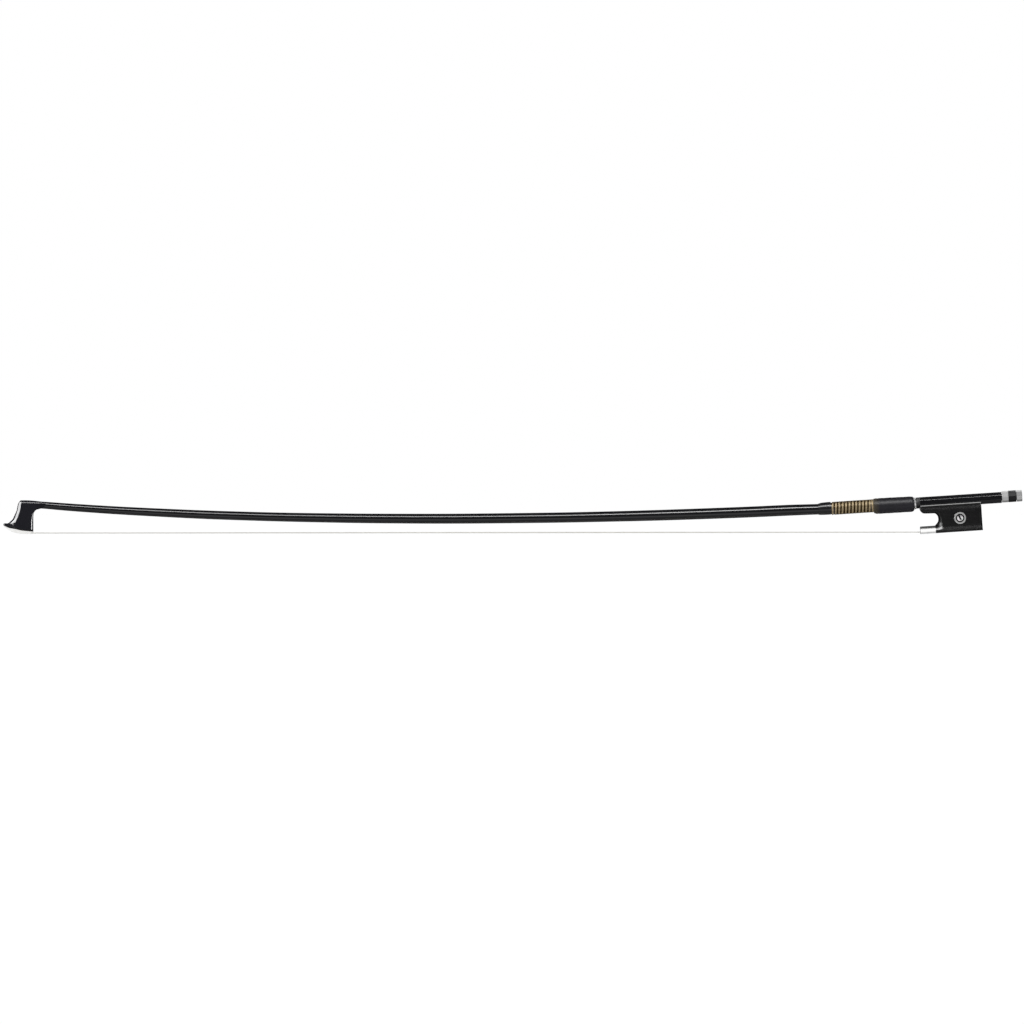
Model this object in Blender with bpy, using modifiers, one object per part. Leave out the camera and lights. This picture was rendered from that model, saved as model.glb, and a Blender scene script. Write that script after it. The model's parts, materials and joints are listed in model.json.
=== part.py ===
"""A violin bow: cambered black stick with its head, white tip plate, hair,
wound grip, ebony frog on an octagonal handle, and a three-part screw button.

Lengths below are in millimetres; everything is built in metres.
World frame: +X runs from the head to the button, +Z is up (the stick side),
Y = 0 is the bow's symmetry plane and Z = 0 is the lowest point of ferrule and
tip plate.  The handle frame (u, v, w) has its origin where the octagonal
handle ends, u along the handle towards the button, v = Y, w square to both.
"""
import math

import bmesh
import bpy
from mathutils import Matrix, Vector

MM = 0.001

# ---------------------------------------------------------------- dimensions
# overall
HALF_LENGTH = 372.5          # beak tip and button end lie this far from X = 0

# handle frame
HANDLE_END_X = 357.2         # where the octagon ends, on its axis
HANDLE_TILT = 3.7            # degrees, handle axis above X
FROG_FLOOR = -22.85          # w of the frog's and ferrule's underside

# stick
CAMBER = (                   # centreline of the shaft: X, Z
    (-352.0, 21.6), (-342.5, 21.02), (-331.1, 20.1), (-316.3, 19.0), (-286.9, 17.12),
    (-257.7, 15.6), (-228.6, 14.25), (-199.2, 13.22), (-170.0, 12.4), (-140.8, 11.85),
    (-111.5, 11.45), (-82.2, 11.25), (-53.0, 11.18), (-23.8, 11.33), (5.5, 11.64),
    (34.7, 12.02), (64.0, 12.62), (93.2, 13.33), (122.5, 14.22), (151.7, 15.25),
    (181.0, 16.42), (208.0, 17.6),
)
STRAIGHT_FROM_X = 226.0      # from here on the stick follows the handle axis
TAPER = (                    # shaft diameter: X, diameter
    (-352.0, 5.1), (-331.0, 5.15), (-309.0, 5.35), (-272.6, 5.65),
    (-228.8, 6.0), (-170.0, 6.25), (-111.8, 6.7), (-53.0, 7.0),
    (5.5, 7.15), (64.0, 7.3), (122.5, 7.6), (216.0, 7.7), (300.0, 7.7),
)
SHAFT_STEP = 19.0            # spacing of the shaft's sections
SIDES = 16                   # sides of the stick and of all that wraps it
OCTAGON = 8.0                # across flats
OCTAGON_FRONT = -60.2        # u
NECK_D, NECK_FRONT, NECK_W = 8.1, -62.4, -0.1     # NECK_W: its centre, in w
SEAT_D, SEAT_FRONT = 7.0, -64.2
SCREW_W = 0.4                # the screw's axis lies this far above the octagon's
NIPPLE_D, NIPPLE_LENGTH = 5.0, 4.2
BORE_D, BORE_FRONT = 3.9, -46.0
PILOT_D, PILOT_FRONT = 2.5, -55.0
SLOT = (-45.0, -29.0)        # u range of the eyelet's mortise
SLOT_WIDTH = 4.9
SLOT_TOP = 3.0               # w

# head and tip plate: stations along the bottom of the head, from the beak
HEAD_X = (-HALF_LENGTH, -371.6, -368.0, -363.8, -358.5, -351.55, -350.65)
HEAD_HALF_WIDTH = (0.25, 0.85, 2.35, 3.8, 4.7, 4.65, 3.75)
HEAD_BOTTOM = (7.2, 6.75, 5.2, 4.45, 3.35, 2.7, 2.65)
LINER_GAP = 0.1
LINER_THICKNESS = 0.5
PLATE_BOTTOM = (5.7, 5.0, 2.6, 0.9, 0.0, 0.0, 0.0)
HEAD_LEVELS = (
    # ridge x, ridge z, side-face front x, half width, rear x, rear z, rear chamfer, flatness
    (-372.3, 7.95, -363.9, 3.82, -350.65, 3.4, 0.9, 0.0),
    (-369.1, 7.75, -363.8, 3.85, -350.65, 4.9, 0.9, 0.0),
    (-367.4, 8.25, -363.6, 3.85, -350.65, 5.8, 0.9, 0.05),
    (-366.0, 9.3, -363.3, 3.85, -350.65, 7.2, 0.9, 0.1),
    (-364.9, 10.7, -362.5, 3.8, -350.65, 9.0, 0.9, 0.2),
    (-363.8, 13.2, -361.3, 3.6, -350.65, 12.0, 0.9, 0.4),
    (-362.8, 15.8, -360.5, 3.35, -350.5, 15.0, 0.85, 0.7),
    (-362.5, 16.9, -360.2, 3.2, -349.85, 16.25, 0.8, 0.8),
    (-362.2, 18.0, -360.0, 3.1, -348.4, 17.7, 0.7, 0.9),
    (-361.9, 19.2, -359.8, 2.95, -345.6, 18.45, 0.5, 1.0),
    (-361.5, 21.4, -359.6, 2.75, -341.0, 20.9, 0.5, 1.0),
    (-361.0, 23.0, -359.4, 2.55, -341.0, 22.4, 0.5, 1.0),
    (-360.3, 24.3, -359.0, 2.2, -341.5, 23.2, 0.5, 1.0),
    (-359.8, 24.75, -358.6, 1.7, -342.5, 23.5, 0.4, 1.0),
)
HEAD_TOP_MID = -352.0        # X where the flat top starts to fall towards the shaft
TIP_MORTISE_X = (-361.0, -354.0)
TIP_MORTISE_WIDTH = 6.6
TIP_MORTISE_TOP = 9.6
RAMP_WIDTH, RAMP_TOP = 7.9, 1.45

# grip, all round the handle axis
UNDERLAY = (                 # u, w of its upper and of its lower side
    (-134.2, 4.1, -4.1), (-132.9, 4.4, -4.2), (-131.6, 4.66, -4.28), (-129.6, 4.76, -4.36),
    (-126.5, 4.82, -4.4), (-124.95, 4.82, -4.4), (-124.9, 4.18, -4.18), (-94.2, 4.18, -4.18),
)
WINDING_START = -124.62      # u where the gold strip starts, on the -Y side
WINDING_TURNS = 12
WINDING_PITCH = 2.433
GOLD_WIDTH, BLACK_WIDTH = 1.34, 0.93
WINDING_D, WINDING_THICKNESS = 9.34, 0.38
LEATHER = (
    (-93.9, 4.75, -4.95), (-93.5, 5.1, -5.35), (-92.8, 5.25, -5.85), (-91.6, 5.25, -6.1),
    (-83.0, 5.2, -6.2), (-72.0, 5.05, -6.25), (-66.0, 4.95, -6.25), (-65.1, 4.8, -6.0),
    (-64.5, 4.4, -5.5), (-64.1, 3.95, -4.95),
)
GRIP_CLEARANCE = 0.1         # between a sleeve and the stick
RING = (-63.95, -62.55)
RING_D, RING_W = 8.5, -0.25

# frog
SADDLE_TOP = -2.95           # w of the ebony's upper rims
NOSE = ((-60.5, -2.95), (-60.25, -4.8), (-59.6, -6.4), (-58.8, -7.3), (-57.9, -7.9))
THROAT = (                   # u, w from the nose to the ferrule
    (-57.9, -7.9), (-56.6, -8.15), (-50.6, -8.4), (-49.2, -8.6), (-48.35, -9.25),
    (-47.65, -10.2), (-47.25, -11.4), (-47.15, -12.8), (-47.2, -13.9), (-47.7, -15.2),
    (-48.4, -16.0), (-49.3, -16.75), (-50.4, -17.3),
)
FROG_REAR = -15.2
FROG_FRONT = -49.6
FROG_SECTION = (             # w, half width
    (0.0, 4.7), (-2.95, 4.8), (-5.0, 4.98), (-8.0, 5.12), (-18.5, 5.7),
    (-20.5, 6.15), (-22.0, 6.45), (-22.5, 6.5), (FROG_FLOOR, 6.2),
)
FROG_ENDS = (                # u, how much the half width draws in there
    (-60.8, 1.3), (-60.2, 0.6), (-59.2, 0.18), (-57.6, 0.0),
    (-17.0, 0.0), (-16.2, 0.22), (-15.6, 0.7), (-15.1, 1.6),
)
D_HALF_WIDTH, D_SHOULDER, D_TOP = 6.5, -21.9, -17.4
FERRULE = (-60.8, -49.8)
FERRULE_WALL = 0.5
TONGUE_BOTTOM = -19.6
SLIDE = (-49.4, -19.6)
SLIDE_HALF_WIDTH = (3.9, 4.6)          # of its channel, at the mouth and inside
SLIDE_CHANNEL_TOP = -21.35
HAIR_CHANNEL_TOP = -20.1
FROG_MORTISE = (-44.3, -36.9)
FROG_MORTISE_TOP = -14.5
FROG_MORTISE_WIDTH = 8.4
SADDLE_GAP, LINING, LINING_GAP = 0.2, 0.45, 0.1
LIP = (-2.2, -2.85)          # w range of the lining's visible lips
EYELET_U = -36.0
EYELET_LENGTH, EYELET_WIDTH = 5.8, 4.4
EYELET_BORE_D = 3.04
SHANK_D, SHANK_DEPTH = 3.4, -11.5
EYE_U, EYE_W = -31.3, -13.0
EYE_RING_D = (8.8, 5.9)
EYE_PEARL_D = 4.6
EYE_DEPTH = 1.1
INLAY_GAP = 0.12
PIN_D = 1.2

# screw and button
THREAD_D, THREAD = 2.8, (-45.3, -26.0)
NOSE_D, NOSE_FRONT = 2.1, -54.0
SHANK_SCREW_D, SCREW_END = 3.4, 11.6
BUTTON_FRONT, BUTTON_REAR = 0.3, 15.07
BUTTON_RINGS = (5.05, 10.85)           # u where the front ring ends, rear starts
BUTTON_FLATS, BUTTON_CORE_FLATS = 7.75, 7.85      # both stand with an edge upwards
SPIGOT_D = 6.4

# hair
HAIR_TIP = (-353.9, 0.70)              # X, Z of the ribbon's middle
HAIR_MOUTH = (-61.4, -21.45)           # u, w just outside the ferrule
HAIR_END = (-43.95, -20.9)
HAIR_WIDTH = (7.3, 10.4)
HAIR_THICKNESS = 1.0

# ---------------------------------------------------------------- scene set-up
for ob in list(bpy.data.objects):
    bpy.data.objects.remove(ob, do_unlink=True)

parts = bpy.data.collections.new("violin_bow")
cutters = bpy.data.collections.new("cutters")
for coll in (parts, cutters):
    bpy.context.scene.collection.children.link(coll)

TILT = math.radians(HANDLE_TILT)
# the ferrule's front lower corner touches Z = 0
HANDLE_END_Z = -FERRULE[0] * math.sin(TILT) - FROG_FLOOR * math.cos(TILT)


def empty(name, location, rotation=(0, 0, 0)):
    ob = bpy.data.objects.new(name, None)
    ob.empty_display_size = 0.01
    ob.location = location
    ob.rotation_euler = rotation
    parts.objects.link(ob)
    return ob


E = Vector((HANDLE_END_X, 0, HANDLE_END_Z)) * MM


def from_handle(u, v, w):
    """Handle frame to world, both in millimetres."""
    c, s = math.cos(TILT), math.sin(TILT)
    return (HANDLE_END_X + u * c - w * s, v, HANDLE_END_Z + u * s + w * c)


handle_frame = empty("handle_frame", E, (0, -TILT, 0))
frog_axis = empty("frog_axis", E, (0, -TILT, 0))
screw_axis = empty("screw_axis", Vector(from_handle(0, 0, SCREW_W)) * MM, (0, -TILT, 0))
bpy.context.view_layer.update()


def material(name, colour, roughness, metallic=0.0):
    m = bpy.data.materials.new(name)
    m.use_nodes = True
    shader = m.node_tree.nodes["Principled BSDF"]
    shader.inputs["Base Color"].default_value = (*colour, 1)
    shader.inputs["Roughness"].default_value = roughness
    shader.inputs["Metallic"].default_value = metallic
    return m


LACQUER = material("black_lacquer", (0.012, 0.012, 0.016), 0.18)
EBONY = material("ebony", (0.016, 0.015, 0.017), 0.35)
LINER = material("black_liner", (0.01, 0.01, 0.01), 0.4)
WHITE = material("white_plate", (0.85, 0.84, 0.80), 0.3)
MAPLE = material("pale_wood", (0.62, 0.45, 0.27), 0.6)
HAIR = material("horsehair", (0.82, 0.80, 0.74), 0.5)
KNOT = material("bound_hair", (0.70, 0.66, 0.58), 0.7)
SLEEVE = material("dark_sleeve", (0.035, 0.035, 0.04), 0.6)
GOLD = material("gold_strip", (0.55, 0.36, 0.11), 0.35, 0.8)
BLACK = material("black_strip", (0.012, 0.012, 0.012), 0.4)
LEATHER_M = material("black_leather", (0.02, 0.02, 0.023), 0.55)
NICKEL = material("nickel", (0.78, 0.78, 0.77), 0.22, 1.0)
PEARL = material("pearl", (0.86, 0.87, 0.85), 0.25)
BRASS = material("brass", (0.72, 0.52, 0.22), 0.3, 1.0)
STEEL = material("steel", (0.55, 0.56, 0.57), 0.3, 1.0)


# ---------------------------------------------------------------- helpers
def place(ob, coll, mat=None, parent=None, location=(0, 0, 0), rotation=(0, 0, 0)):
    coll.objects.link(ob)
    if mat is not None:
        ob.data.materials.append(mat)
    if parent is not None:
        ob.parent = parent
    ob.location = Vector(location) * MM
    ob.rotation_euler = rotation
    if coll is cutters:
        ob.hide_render = True
        ob.display_type = "WIRE"
    return ob


def bm_object(name, bm, coll, mat=None, parent=None, location=(0, 0, 0),
              rotation=(0, 0, 0), smooth=0.0):
    bmesh.ops.recalc_face_normals(bm, faces=bm.faces)
    mesh = bpy.data.meshes.new(name)
    bm.to_mesh(mesh)
    bm.free()
    if smooth:
        mesh.shade_smooth()
        mesh.set_sharp_from_angle(angle=math.radians(smooth))
    return place(bpy.data.objects.new(name, mesh), coll, mat, parent, location, rotation)


def prism(name, outline, depth, coll, mat=None, parent=None, location=(0, 0, 0),
          rotation=(0, 0, 0), smooth=0.0):
    """A flat outline (mm) extruded to both sides of its plane by depth (mm)."""
    curve = bpy.data.curves.new(name + "_outline", "CURVE")
    curve.dimensions = "2D"
    curve.fill_mode = "BOTH"
    curve.extrude = depth * MM
    spline = curve.splines.new("POLY")
    spline.points.add(len(outline) - 1)
    for p, (x, y) in zip(spline.points, outline):
        p.co = (x * MM, y * MM, 0, 1)
    spline.use_cyclic_u = True
    flat = bpy.data.objects.new(name + "_outline", curve)
    parts.objects.link(flat)
    bpy.context.view_layer.update()
    graph = bpy.context.evaluated_depsgraph_get()
    mesh = bpy.data.meshes.new_from_object(flat.evaluated_get(graph))
    bpy.data.objects.remove(flat, do_unlink=True)
    mesh.name = name
    mesh.materials.clear()
    bm = bmesh.new()
    bm.from_mesh(mesh)
    bmesh.ops.remove_doubles(bm, verts=bm.verts, dist=1e-6)
    bpy.data.meshes.remove(mesh)
    return bm_object(name, bm, coll, mat, parent, location, rotation, smooth)


SIDE_ON = (math.pi / 2, 0, 0)             # outline (x, y) read as (X, Z)
CROSSWISE = (math.pi / 2, 0, math.pi / 2)  # outline read as (Y, Z), depth along X
ALONG = (0, math.pi / 2, 0)               # a turned piece's axis laid along X


def box(name, lo, hi, coll, mat=None, parent=None, bevel=0.0):
    bm = bmesh.new()
    bmesh.ops.create_cube(bm, size=1.0)
    size = [b - a for a, b in zip(lo, hi)]
    bmesh.ops.scale(bm, vec=Vector(size) * MM, verts=bm.verts)
    ob = bm_object(name, bm, coll, mat, parent,
                   [(a + b) / 2 for a, b in zip(lo, hi)])
    if bevel:
        mod = ob.modifiers.new("edges", "BEVEL")
        mod.width = bevel * MM
        mod.segments = 1
    return ob


def cylinder(name, radius, lo, hi, sides, coll, mat=None, parent=None,
             location=(0, 0, 0), rotation=(0, 0, 0), turn=0.0, smooth=0.0):
    """A cylinder along its own Z from lo to hi, its sides turned by turn."""
    bm = bmesh.new()
    bmesh.ops.create_cone(
        bm, cap_ends=True, segments=sides, radius1=radius * MM, radius2=radius * MM,
        depth=(hi - lo) * MM,
        matrix=Matrix.Translation((0, 0, (lo + hi) / 2 * MM)) @ Matrix.Rotation(turn, 4, "Z"))
    return bm_object(name, bm, coll, mat, parent, location, rotation, smooth)


def turned(name, profile, sides, coll, mat=None, parent=None, location=(0, 0, 0),
           rotation=(0, 0, 0), closed=False, smooth=35.0):
    """A (radius, height) profile, running down its outer side, turned round Z."""
    mesh = bpy.data.meshes.new(name)
    verts = [(r * MM, 0, z * MM) for r, z in profile]
    n = len(verts)
    edges = [(i, i + 1) for i in range(n - 1)] + ([(n - 1, 0)] if closed else [])
    mesh.from_pydata(verts, edges, [])
    ob = place(bpy.data.objects.new(name, mesh), coll, mat, parent, location, rotation)
    screw = ob.modifiers.new("turn", "SCREW")
    screw.axis = "Z"
    screw.angle = 2 * math.pi
    screw.steps = sides
    screw.render_steps = sides
    screw.use_merge_vertices = True
    screw.merge_threshold = 0.00001
    screw.use_smooth_shade = False
    return ob


def loft(name, rings, coll, mat=None, parent=None, pairs=False, smooth=0.0):
    """Rings of equal count joined in order.  An end is closed with one face, or,
    for a ring listed symmetrically about its first point, with mirrored pairs."""
    bm = bmesh.new()
    loops = [[bm.verts.new(Vector(p) * MM) for p in ring] for ring in rings]
    n = len(loops[0])
    for a, b in zip(loops, loops[1:]):
        for i in range(n):
            j = (i + 1) % n
            bm.faces.new((a[i], a[j], b[j], b[i]))
    for loop in (loops[0], loops[-1]):
        if not pairs:
            bm.faces.new(loop)
            continue
        half = (n - 1) // 2
        bm.faces.new((loop[0], loop[1], loop[n - 1]))
        for i in range(1, half):
            bm.faces.new((loop[i], loop[i + 1], loop[n - i - 1], loop[n - i]))
    return bm_object(name, bm, coll, mat, parent, smooth=smooth)


def combine(ob, other, operation="DIFFERENCE"):
    mod = ob.modifiers.new(operation.lower() + "_" + other.name[:20], "BOOLEAN")
    mod.operation = operation
    mod.object = other
    return mod


def smooth_curve(points):
    """A natural cubic spline through (x, y) points, as a function of x."""
    xs, ys = [p[0] for p in points], [p[1] for p in points]
    n = len(xs)
    h = [xs[i + 1] - xs[i] for i in range(n - 1)]
    alpha = [0.0] + [3 * ((ys[i + 1] - ys[i]) / h[i] - (ys[i] - ys[i - 1]) / h[i - 1])
                     for i in range(1, n - 1)] + [0.0]
    l, mu, z = [1.0] * n, [0.0] * n, [0.0] * n
    for i in range(1, n - 1):
        l[i] = 2 * (xs[i + 1] - xs[i - 1]) - h[i - 1] * mu[i - 1]
        mu[i] = h[i] / l[i]
        z[i] = (alpha[i] - h[i - 1] * z[i - 1]) / l[i]
    c, b, d = [0.0] * n, [0.0] * n, [0.0] * n
    for i in range(n - 2, -1, -1):
        c[i] = z[i] - mu[i] * c[i + 1]
        b[i] = (ys[i + 1] - ys[i]) / h[i] - h[i] * (c[i + 1] + 2 * c[i]) / 3
        d[i] = (c[i + 1] - c[i]) / (3 * h[i])

    def value(x):
        i = max(k for k in range(n - 1) if k == 0 or xs[k] <= x)
        t = x - xs[i]
        return ys[i] + b[i] * t + c[i] * t * t + d[i] * t ** 3
    return value


def steps(points, x):
    """Straight-line reading of (x, y) points."""
    for (x0, y0), (x1, y1) in zip(points, points[1:]):
        if x <= x1:
            return y0 + (y1 - y0) * (x - x0) / (x1 - x0)
    return points[-1][1]


# ---------------------------------------------------------------- stick
def axis_z(x):
    return HANDLE_END_Z - (HANDLE_END_X - x) * math.tan(TILT)


camber = smooth_curve(CAMBER + tuple((x, axis_z(x)) for x in (STRAIGHT_FROM_X, 245.0, 270.0)))


def round_ring(x, z, slope, radius):
    """A ring of SIDES points, square to the centreline's slope."""
    a = math.atan(slope)
    points = []
    for k in range(SIDES):
        t = 2 * math.pi * k / SIDES
        v, w = radius * math.sin(t), radius * math.cos(t)
        points.append((x - w * math.sin(a), v, z + w * math.cos(a)))
    return points


def handle_ring(u, radius, octagon=False, centre=0.0):
    points = []
    for k in range(SIDES):
        t = 2 * math.pi * k / SIDES
        r = radius
        if octagon and k % 2:
            r = radius / math.cos(math.pi / 8)
        points.append(from_handle(u, r * math.sin(t), centre + r * math.cos(t)))
    return points


rings = []
x = CAMBER[0][0]
count = round((STRAIGHT_FROM_X - x) / SHAFT_STEP)
for i in range(count):
    xi = x + (STRAIGHT_FROM_X - x) * i / count
    slope = (camber(xi + 0.5) - camber(xi - 0.5))
    rings.append(round_ring(xi, camber(xi), slope, steps(TAPER, xi) / 2))
START_U = (STRAIGHT_FROM_X - HANDLE_END_X) / math.cos(TILT)
R_GRIP = TAPER[-1][1] / 2
for u, r, w in ((START_U, R_GRIP, 0), (SEAT_FRONT, R_GRIP, 0), (SEAT_FRONT, SEAT_D / 2, 0),
                (NECK_FRONT, SEAT_D / 2, 0), (NECK_FRONT, NECK_D / 2, NECK_W),
                (OCTAGON_FRONT - 0.5, NECK_D / 2, NECK_W)):
    rings.append(handle_ring(u, r, centre=w))
rings.append(handle_ring(OCTAGON_FRONT, OCTAGON / 2, True))
rings.append(handle_ring(0.0, OCTAGON / 2, True))
rings.append(handle_ring(0.0, NIPPLE_D / 2, centre=SCREW_W))
rings.append(handle_ring(NIPPLE_LENGTH, NIPPLE_D / 2, centre=SCREW_W))
stick = loft("stick", rings, parts, LACQUER, smooth=25)

# head: level outlines from the plate up to the flat top, a ridge in front
def bottom_z(x):
    return steps(tuple(zip(HEAD_X, HEAD_BOTTOM)), x)


def level(points):
    """(x, half width, z) from the ridge to the rear, mirrored into a ring."""
    ridge = points[0]
    ring = [(ridge[0], 0.0, ridge[2])]
    ring += [(px, py, pz) for px, py, pz in points[1:]]
    ring += [(px, -py, pz) for px, py, pz in reversed(points[1:])]
    return ring


head_rings = [level([(hx, hy, hz) for hx, hy, hz in
                     zip(HEAD_X, HEAD_HALF_WIDTH, HEAD_BOTTOM)])]
for xf, zf, xs_, half, xr, zr, chamfer, flat in HEAD_LEVELS:
    zs = zf - (1 - flat) * (bottom_z(xf) - bottom_z(xs_))
    zs = min(zs, zf) if flat < 1 else zf
    xm = (xs_ + xr) / 2 if flat < 1 else HEAD_TOP_MID
    rear_half = half if xr < -345 else min(half, 2.35)
    mid_half = half * 1.07
    zm = zs - 0.15 if flat == 1.0 else zs + (zr - zs) * (xm - xs_) / (xr - xs_)
    bulge = 0.16 * max(0.0, 1 - flat * 4)
    pts = [(xf, 0.0, zf)]
    for f in (0.1 if flat == 0.0 and xf < -372 else 0.34, 0.62 if xf < -372 else 0.67):
        pts.append((xf + (xs_ - xf) * f, half * (f + bulge * math.sin(math.pi * f)),
                    zf + (zs - zf) * f))
    pts += [(xs_, half, zs), (xm, mid_half, zm),
            (xr - chamfer, rear_half * (1.06 if xr < -345 else 1.0), zr),
            (xr, (rear_half - chamfer) * (1.06 if xr < -345 else 1.0), zr)]
    head_rings.append(level(pts))
head = loft("head_block", head_rings, cutters, pairs=True)
combine(stick, head, "UNION")

# bore, pilot hole, eyelet mortise, head mortise
bore = cylinder("screw_bore", BORE_D / 2, BORE_FRONT, NIPPLE_LENGTH + 1.0, SIDES, cutters,
                parent=screw_axis, rotation=ALONG)
pilot = cylinder("pilot_bore", PILOT_D / 2, PILOT_FRONT, BORE_FRONT + 1.0, SIDES, cutters,
                 parent=screw_axis, rotation=ALONG)
slot = box("eyelet_slot", (SLOT[0], -SLOT_WIDTH / 2, -OCTAGON), (SLOT[1], SLOT_WIDTH / 2, SLOT_TOP),
           cutters, parent=handle_frame)
tip_mortise = box("tip_mortise", (TIP_MORTISE_X[0], -TIP_MORTISE_WIDTH / 2, -2.0),
                  (TIP_MORTISE_X[1], TIP_MORTISE_WIDTH / 2, TIP_MORTISE_TOP), cutters)
for cutter in (bore, pilot, slot, tip_mortise):
    combine(stick, cutter)


def sole(name, tops, bottoms, mat):
    """A sheet that follows the underside of the head, station by station."""
    rings = []
    for hx, hy, top, low in zip(HEAD_X, HEAD_HALF_WIDTH, tops, bottoms):
        rings.append([(hx, hy, top), (hx, -hy, top), (hx, -hy, low), (hx, hy, low)])
    return loft(name, rings, parts, mat)


liner_top = [z - LINER_GAP for z in HEAD_BOTTOM]
liner_low = [z - LINER_GAP - LINER_THICKNESS for z in HEAD_BOTTOM]
plate_top = [z - LINER_GAP for z in liner_low]
head_liner = sole("head_liner", liner_top, liner_low, LINER)
combine(head_liner, tip_mortise)
tip_plate = sole("tip_plate", plate_top, PLATE_BOTTOM, WHITE)
combine(tip_plate, tip_mortise)
ramp = box("hair_ramp", (TIP_MORTISE_X[1] - 0.6, -RAMP_WIDTH / 2, -2.0),
           (HEAD_X[-1] + 1.0, RAMP_WIDTH / 2, RAMP_TOP), cutters)
combine(tip_plate, ramp)

prism("tip_wedge", [(-360.7, 0.6), (-355.3, 0.6), (-355.35, 4.6), (-360.7, 5.0)],
      3.05, parts, MAPLE, rotation=SIDE_ON)
prism("hair_knot_tip", [(-354.3, 1.7), (-354.3, 6.2), (-356.0, 9.0), (-360.5, 9.0),
                        (-360.5, 5.5), (-355.8, 5.3), (-355.0, 4.9), (-355.0, 1.7)],
      3.0, parts, KNOT, rotation=SIDE_ON)

# ---------------------------------------------------------------- hair
mouth = from_handle(HAIR_MOUTH[0], 0, HAIR_MOUTH[1])
inner = from_handle(FERRULE[1] - 0.3, 0, -20.98)
end = from_handle(HAIR_END[0], 0, HAIR_END[1])
hair_rings = []
for f in (0.0, 0.25, 0.5, 0.75, 1.0):
    hx = HAIR_TIP[0] + (mouth[0] - HAIR_TIP[0]) * f
    hz = HAIR_TIP[1] + (mouth[2] - HAIR_TIP[1]) * f
    hw = (HAIR_WIDTH[0] + (HAIR_WIDTH[1] - HAIR_WIDTH[0]) * f) / 2
    hair_rings.append((hx, hz, hw, 0.0))
hair_rings.append((inner[0], inner[2], HAIR_WIDTH[1] / 2, -TILT / 2))
hair_rings.append((end[0], end[2], 3.9, -TILT))
rings = []
for hx, hz, hw, a in hair_rings:
    dx, dz = HAIR_THICKNESS / 2 * math.sin(a), HAIR_THICKNESS / 2 * math.cos(a)
    rings.append([(hx + dx, hw, hz + dz), (hx + dx, -hw, hz + dz),
                  (hx - dx, -hw, hz - dz), (hx - dx, hw, hz - dz)])
loft("hair", rings, parts, HAIR)

# ---------------------------------------------------------------- grip
def off_centre(name, stations, inner_r, mat):
    """A sleeve whose outside, (u, upper w, lower w), isn't centred on its straight bore."""
    ob = loft(name, [handle_ring(u, (top - low) / 2, centre=(top + low) / 2)
                     for u, top, low in stations], parts, mat)
    bore = cylinder(name + "_bore", inner_r, stations[0][0] - 1, stations[-1][0] + 1, SIDES,
                    cutters, parent=handle_frame, rotation=ALONG)
    combine(ob, bore)
    return ob


inner = R_GRIP + GRIP_CLEARANCE
off_centre("winding_underlay", UNDERLAY, inner, SLEEVE)
off_centre("thumb_leather", LEATHER, inner, LEATHER_M)
r = RING_D / 2
off_centre("grip_ring", [(u, RING_W + r - cut, RING_W - r + cut) for u, cut in
                         ((RING[0], 0.15), (RING[0] + 0.2, 0.0), (RING[1] - 0.2, 0.0), (RING[1], 0.15))],
           SEAT_D / 2 + 0.1, NICKEL)


def strip(name, start, width, turns, mat):
    """A flat strip wound round the handle axis from its -Y side, start in mm along u."""
    r_out, r_in = WINDING_D / 2, WINDING_D / 2 - WINDING_THICKNESS
    rings = []
    for i in range(-1, int(turns * SIDES) + 1):
        t = 2 * math.pi * (i / SIDES + 0.75)
        u = start + WINDING_PITCH * i / SIDES
        rings.append([from_handle(u + du, r * math.sin(t), r * math.cos(t))
                      for du, r in ((0, r_in), (0, r_out), (width, r_out), (width, r_in))])
    return loft(name, rings, parts, mat)


gap = (WINDING_PITCH - GOLD_WIDTH - BLACK_WIDTH) / 2
strip("winding_gold", WINDING_START, GOLD_WIDTH, WINDING_TURNS, GOLD)
strip("winding_black", WINDING_START + GOLD_WIDTH + gap, BLACK_WIDTH, WINDING_TURNS - 1, BLACK)

# ---------------------------------------------------------------- frog
outline = list(NOSE[:-1]) + list(THROAT)
outline += [(FROG_FRONT, D_TOP), (FROG_FRONT, FROG_FLOOR), (FROG_REAR, FROG_FLOOR),
            (FROG_REAR, SADDLE_TOP)]
outline = [p for i, p in enumerate(outline) if p != (-50.4, -17.3)]
frog = prism("frog_body", outline, 8.0, parts, EBONY, frog_axis, rotation=SIDE_ON, smooth=25)


def d_shape(inset, floor, points=12):
    """Ferrule section (v, w): flat floor, upright sides, elliptical top."""
    half, top = D_HALF_WIDTH - inset, D_TOP - inset
    ring = [(half, floor), (half, D_SHOULDER)]
    for i in range(1, points):
        t = math.pi * i / points
        ring.append((half * math.cos(t), D_SHOULDER + (top - D_SHOULDER) * math.sin(t)))
    return ring + [(-half, D_SHOULDER), (-half, floor)]


# plan and section of the frog: one section, drawn in at both ends
block = []
for u, draw in FROG_ENDS:
    side = [(u, h - draw, w) for w, h in FROG_SECTION]
    block.append(side + [(pu, -pv, pw) for pu, pv, pw in reversed(side)])
block = loft("frog_section", block, cutters, parent=frog_axis)
combine(frog, block, "INTERSECT")

# throat: its outline opens outward towards both sides
def drop(v):
    return (D_TOP - D_SHOULDER) * (1 - math.sqrt(max(0.0, 1 - (v / D_HALF_WIDTH) ** 2)))


def throat_loop(v, offset):
    mouth_u = -68.0
    line = [(mouth_u, THROAT[0][1])] + list(THROAT[1:]) + [(mouth_u, D_TOP)]
    loop = []
    for i, (u, w) in enumerate(line):
        before = line[i - 1] if i else (u - 1, w)
        after = line[i + 1] if i + 1 < len(line) else (u - 1, w)
        du, dw = after[0] - before[0], after[1] - before[1]
        if i == 0:
            du, dw = 1, 0
        if i + 1 == len(line):
            du, dw = -1, 0
        size = math.hypot(du, dw)
        loop.append((u - dw / size * offset, v, w + du / size * offset))
    return loop


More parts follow.
